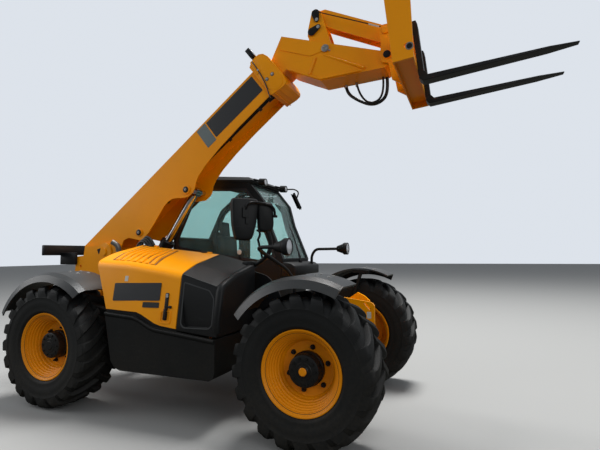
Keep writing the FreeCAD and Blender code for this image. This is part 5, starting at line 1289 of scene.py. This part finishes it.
def wiper():
    tube_line("wiper_arm", [at(*p) for p in WIPER_ARM], 0.007, BLACK_STEEL, "chassis")
    blade = stub(bmesh.new(), at(0.640, 0.735, 1.450), at(0.462, 0.790, 1.880), 0.008, 12, 0.001)
    piece("wiper_blade", blade, HOSE_RUBBER, "chassis")
    boss = stub(bmesh.new(), at(0.668, 0.640, 1.405), at(0.668, 0.640, 1.448), 0.022, 24, 0.004)
    piece("wiper_boss", boss, PLASTIC, "chassis")


# Rear lamps: a moulded bar with a lens cluster at each end

LAMP_BAR_ARMS = ((-0.2650, -0.2355), (0.2355, 0.2650))
# name, finish, and from which y to which the lens reaches
REAR_LENSES = (("lens_red", RED_LENS, 0.300, 0.375), ("lens_amber", AMBER, 0.380, 0.425),
               ("lens_clear", REFLECTOR, 0.430, 0.475))


def rear_lamps():
    bar = rounded_bar(bmesh.new(), at(-2.310, -0.490, 1.512), at(-2.262, 0.490, 1.640), 0.008)
    for inner, outer in LAMP_BAR_ARMS:
        rounded_bar(bar, at(-2.266, inner, 1.395), at(-2.000, outer, 1.545), 0.004)
    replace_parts(piece("lamp_bar", bar, BLACK_STEEL, "chassis"), "rear_lamp_bar")
    for name, finish, inner, outer in REAR_LENSES:
        lenses = bmesh.new()
        for y0, y1 in ((-outer, -inner), (inner, outer)):
            rounded_bar(lenses, at(-2.3148, y0, 1.535), at(-2.305, y1, 1.618), 0.004)
        piece(name, lenses, finish, "chassis")
    plate = rounded_bar(bmesh.new(), at(-2.3145, -0.260, 1.520), at(-2.308, 0.260, 1.632), 0.002)
    piece("number_plate", plate, LABEL, "chassis")


# Seat: padded forms that swell a little, as stuffed cloth does

PAD_VOXEL = 0.006
PAD_FRAMES = 20
PAD_PRESSURE = 4.0
PAD_CAP = 0.010
UPRIGHT = Matrix.Identity(4)
SEAT_LEAN = Matrix.Rotation(-math.atan2(60.0, 740.0), 4, "Y")
# low corner, high corner, rounding and turn of each block that a form is grown from
CUSHION_BLOCKS = (((-0.384, 0.492, 1.066), (0.038, 0.908, 1.160), 0.034, UPRIGHT),)
BACK_BLOCKS = (((-0.4145, 0.500, 1.172), (-0.3365, 0.900, 1.760), 0.032, SEAT_LEAN),
               ((-0.4700, 0.602, 1.775), (-0.4080, 0.798, 1.945), 0.028, SEAT_LEAN),
               ((-0.4420, 0.660, 1.730), (-0.4200, 0.740, 1.800), 0.008, SEAT_LEAN))


def swelled(mesh):
    # inflates a closed skin of cloth and keeps each point within the cap of where it began
    start = [v.co.copy() for v in mesh.vertices]
    skin = linked("pad_skin", mesh)
    cloth = skin.modifiers.new("cloth", "CLOTH")
    cloth.settings.use_pressure = True
    cloth.settings.uniform_pressure_force = PAD_PRESSURE
    cloth.settings.quality = 5
    cloth.settings.effector_weights.gravity = 0.0
    scene = bpy.context.scene
    for frame_number in range(1, PAD_FRAMES + 1):
        scene.frame_set(frame_number)
    shape = settled(skin)
    scene.frame_set(1)
    for vertex, began in zip(shape.vertices, start):
        move = vertex.co - began
        if move.length > PAD_CAP:
            vertex.co = began + move.normalized() * PAD_CAP
    return shape


def padded_form(node, blocks):
    shape = bmesh.new()
    for low, high, width, turn in blocks:
        rounded_bar(shape, at(*low), at(*high), width, 4, turn)
    form = linked("pad_form", mesh_of("pad_form", shape))
    grid = form.modifiers.new("grid", "REMESH")
    grid.mode = "VOXEL"
    grid.voxel_size = PAD_VOXEL
    mesh = settled(form)
    mesh = swelled(mesh)
    smoothing = linked("pad_smooth", mesh)
    finer = smoothing.modifiers.new("finer", "SUBSURF")
    finer.levels = finer.render_levels = 1
    pad = bmesh.new()
    pad.from_mesh(settled(smoothing))
    obj = piece("padded_" + node, pad, CLOTH, nodes[node]["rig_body"], 80.0)
    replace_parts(obj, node)


padded_form("seat_cushion", CUSHION_BLOCKS)
padded_form("seat_back", BACK_BLOCKS)


# Small fittings on the chassis

TREAD_BARS = 5
TREAD_PITCH = 0.036
# forward from the axle and out from the middle
GUARD_BOLTS = ((0.050, 0.770), (0.050, 0.900), (0.160, 0.770), (0.160, 0.900))
# the hole in the tower's plate, in x and z, drawn as a black plate painted as the hole's shade
TOWER_HOLE = ((-1.660, 1.580), (-1.600, 1.598), (-1.628, 1.515))
# outline in x and z, rounding, and from y to y
CHASSIS_LABELS = ((rectangle(1.694, 0.915, 1.734, 0.975), 0.005, -0.2785, -0.2775),
                  (rectangle(-1.565, 1.530, -1.537, 1.568), 0.004, -0.2645, -0.2350))


def step_treads():
    shape = bmesh.new()
    for index in range(TREAD_BARS):
        y = 0.925 + index * TREAD_PITCH
        rounded_bar(shape, at(-0.050, y, 0.5005), at(0.410, y + 0.014, 0.512), 0.002)
    piece("step_tread", shape, ZINC, "chassis")


def guard_bolts():
    # four bolts on the crown of each mudguard, over its bracket
    for end in ENDS:
        for side in SIDES:
            sign = 1 if side == "left" else -1
            guard = nodes["mudguard_" + end + "_" + side]
            shape = bmesh.new()
            for dx, y in GUARD_BOLTS:
                hit, spot, way, index = guard.ray_cast(at(axle_x(end) + dx, sign * y, 2.0), Vector((0.0, 0.0, -1.0)))
                if hit:
                    bolt(shape, spot - way * 0.001, way, 0.011, 0.009)
            piece("guard_bolts_" + end + "_" + side, shape, ZINC, "knuckle_" + end + "_" + side)


def labels():
    shape = bmesh.new()
    for outline, cut, low, high in CHASSIS_LABELS:
        prism(shape, rounded_loop(outline, cut), low, high)
    piece("chassis_labels", shape, LABEL, "chassis")
    # a black plate painted as the shade inside the tower's hole
    hole = prism(bmesh.new(), rounded_loop(TOWER_HOLE, 0.012), -0.2525, -0.240)
    piece("tower_hole_shade", hole, BLACK_STEEL, "chassis")
    finished(nodes["exhaust_stub"], PIPE_STEEL)
    piece("bonnet_label", side_plates(BONNET_LABEL), LABEL, "bonnet")


for name, place, radius in LAMP_FACES:
    lamp_face(name, place, radius)
    if name.startswith("headlamp"):
        drum = placed(facing_forward(DRUM_PROFILE, 1.0, 48), at(*place))
        piece(name.replace("lamp", "lamp_drum"), drum, PLASTIC, "chassis", 50.0)
right_mirrors()
piece("left_mirror_glass", prism(bmesh.new(), LEFT_MIRROR, 0.915, 1.065), MIRROR, "chassis")
boom_panels()
collar_details()
lever_details()
carriage_details()
nose_details()
frame_hoses()
nose_hoses()
boom_hoses()
ear_details()
window_trim()
wiper()
rear_lamps()
step_treads()
guard_bolts()
labels()


# Camera, ground and light

CAMERA_PLACE = at(2.6161, -4.1994, 1.5106)
CAMERA_YAW = -0.3828
CAMERA_PITCH = 0.0673
CAMERA_ROLL = -0.0066
LENS = 25.69
SENSOR_W = 36.0
GROUND_HALF = 60.0
SKY_STRENGTH = 0.44
SKY_SEEN = 0.95
# name, place, aim, size and watts: a large key from the photo's sun side and two weak fills
LAMPS = (("key", (1.6, 4.2, 17.0), (0.0, 0.0, 1.2), 6.4, 4700.0),
         ("front", (8.5, -6.5, 5.0), (0.3, 0.0, 1.4), 6.0, 230.0),
         ("rear", (-8.5, -4.0, 5.5), (-0.5, 0.0, 1.5), 6.0, 260.0))


def photo_camera():
    yaw, pitch = CAMERA_YAW, CAMERA_PITCH
    ahead = Vector((math.sin(yaw) * math.cos(pitch), math.cos(yaw) * math.cos(pitch), math.sin(pitch)))
    right = ahead.cross(Vector((0, 0, 1))).normalized()
    up = right.cross(ahead)
    c, s = math.cos(CAMERA_ROLL), math.sin(CAMERA_ROLL)
    axis_x = right * c + up * s
    axis_y = up * c - right * s
    data = bpy.data.cameras.new("photo_camera")
    data.lens = LENS
    data.sensor_width = SENSOR_W
    camera = linked("photo_camera", data)
    turn = Matrix((axis_x, axis_y, -ahead)).transposed()
    camera.matrix_world = Matrix.Translation(CAMERA_PLACE) @ turn.to_4x4()
    bpy.context.scene.camera = camera


# the ground as the camera sees it, and what it throws back at the machine
FLOOR_SEEN = srgb(150, 150, 148)
FLOOR_LIGHT = srgb(78, 78, 72)


def ground_material():
    material = bpy.data.materials.new("floor_grey")
    material.use_nodes = True
    shader = material.node_tree.nodes["Principled BSDF"]
    path = add(material.node_tree, "ShaderNodeLightPath")
    seen = mixed(material.node_tree, path.outputs["Is Camera Ray"], FLOOR_LIGHT, FLOOR_SEEN)
    material.node_tree.links.new(seen, shader.inputs["Base Color"])
    shader.inputs["Roughness"].default_value = 0.9
    return material


def floor():
    shape = bmesh.new()
    bmesh.ops.create_grid(shape, x_segments=1, y_segments=1, size=GROUND_HALF)
    finished(linked("floor", mesh_of("floor", shape)), ground_material())


def studio():
    # a soft sky all round, brighter where the camera sees it
    world = bpy.data.worlds.new("studio")
    bpy.context.scene.world = world
    world.use_nodes = True
    tree = world.node_tree
    sky = tree.nodes["Background"]
    sky.inputs["Color"].default_value = srgb(226, 232, 240)
    path = add(tree, "ShaderNodeLightPath")
    seen = maths(tree, "MAXIMUM", path.outputs["Is Camera Ray"], path.outputs["Is Transmission Ray"])
    strength = add(tree, "ShaderNodeMapRange", [("Value", seen)], To_Min=SKY_STRENGTH, To_Max=SKY_SEEN)
    tree.links.new(strength.outputs[0], sky.inputs["Strength"])
    for name, place, aim, size, power in LAMPS:
        data = bpy.data.lights.new(name, "AREA")
        data.size = size
        data.energy = power
        turn = (Vector(aim) - Vector(place)).to_track_quat("-Z", "Y").to_matrix().to_4x4()
        linked(name, data).matrix_world = Matrix.Translation(place) @ turn


floor()
studio()
photo_camera()
bpy.context.scene.view_settings.view_transform = "Standard"
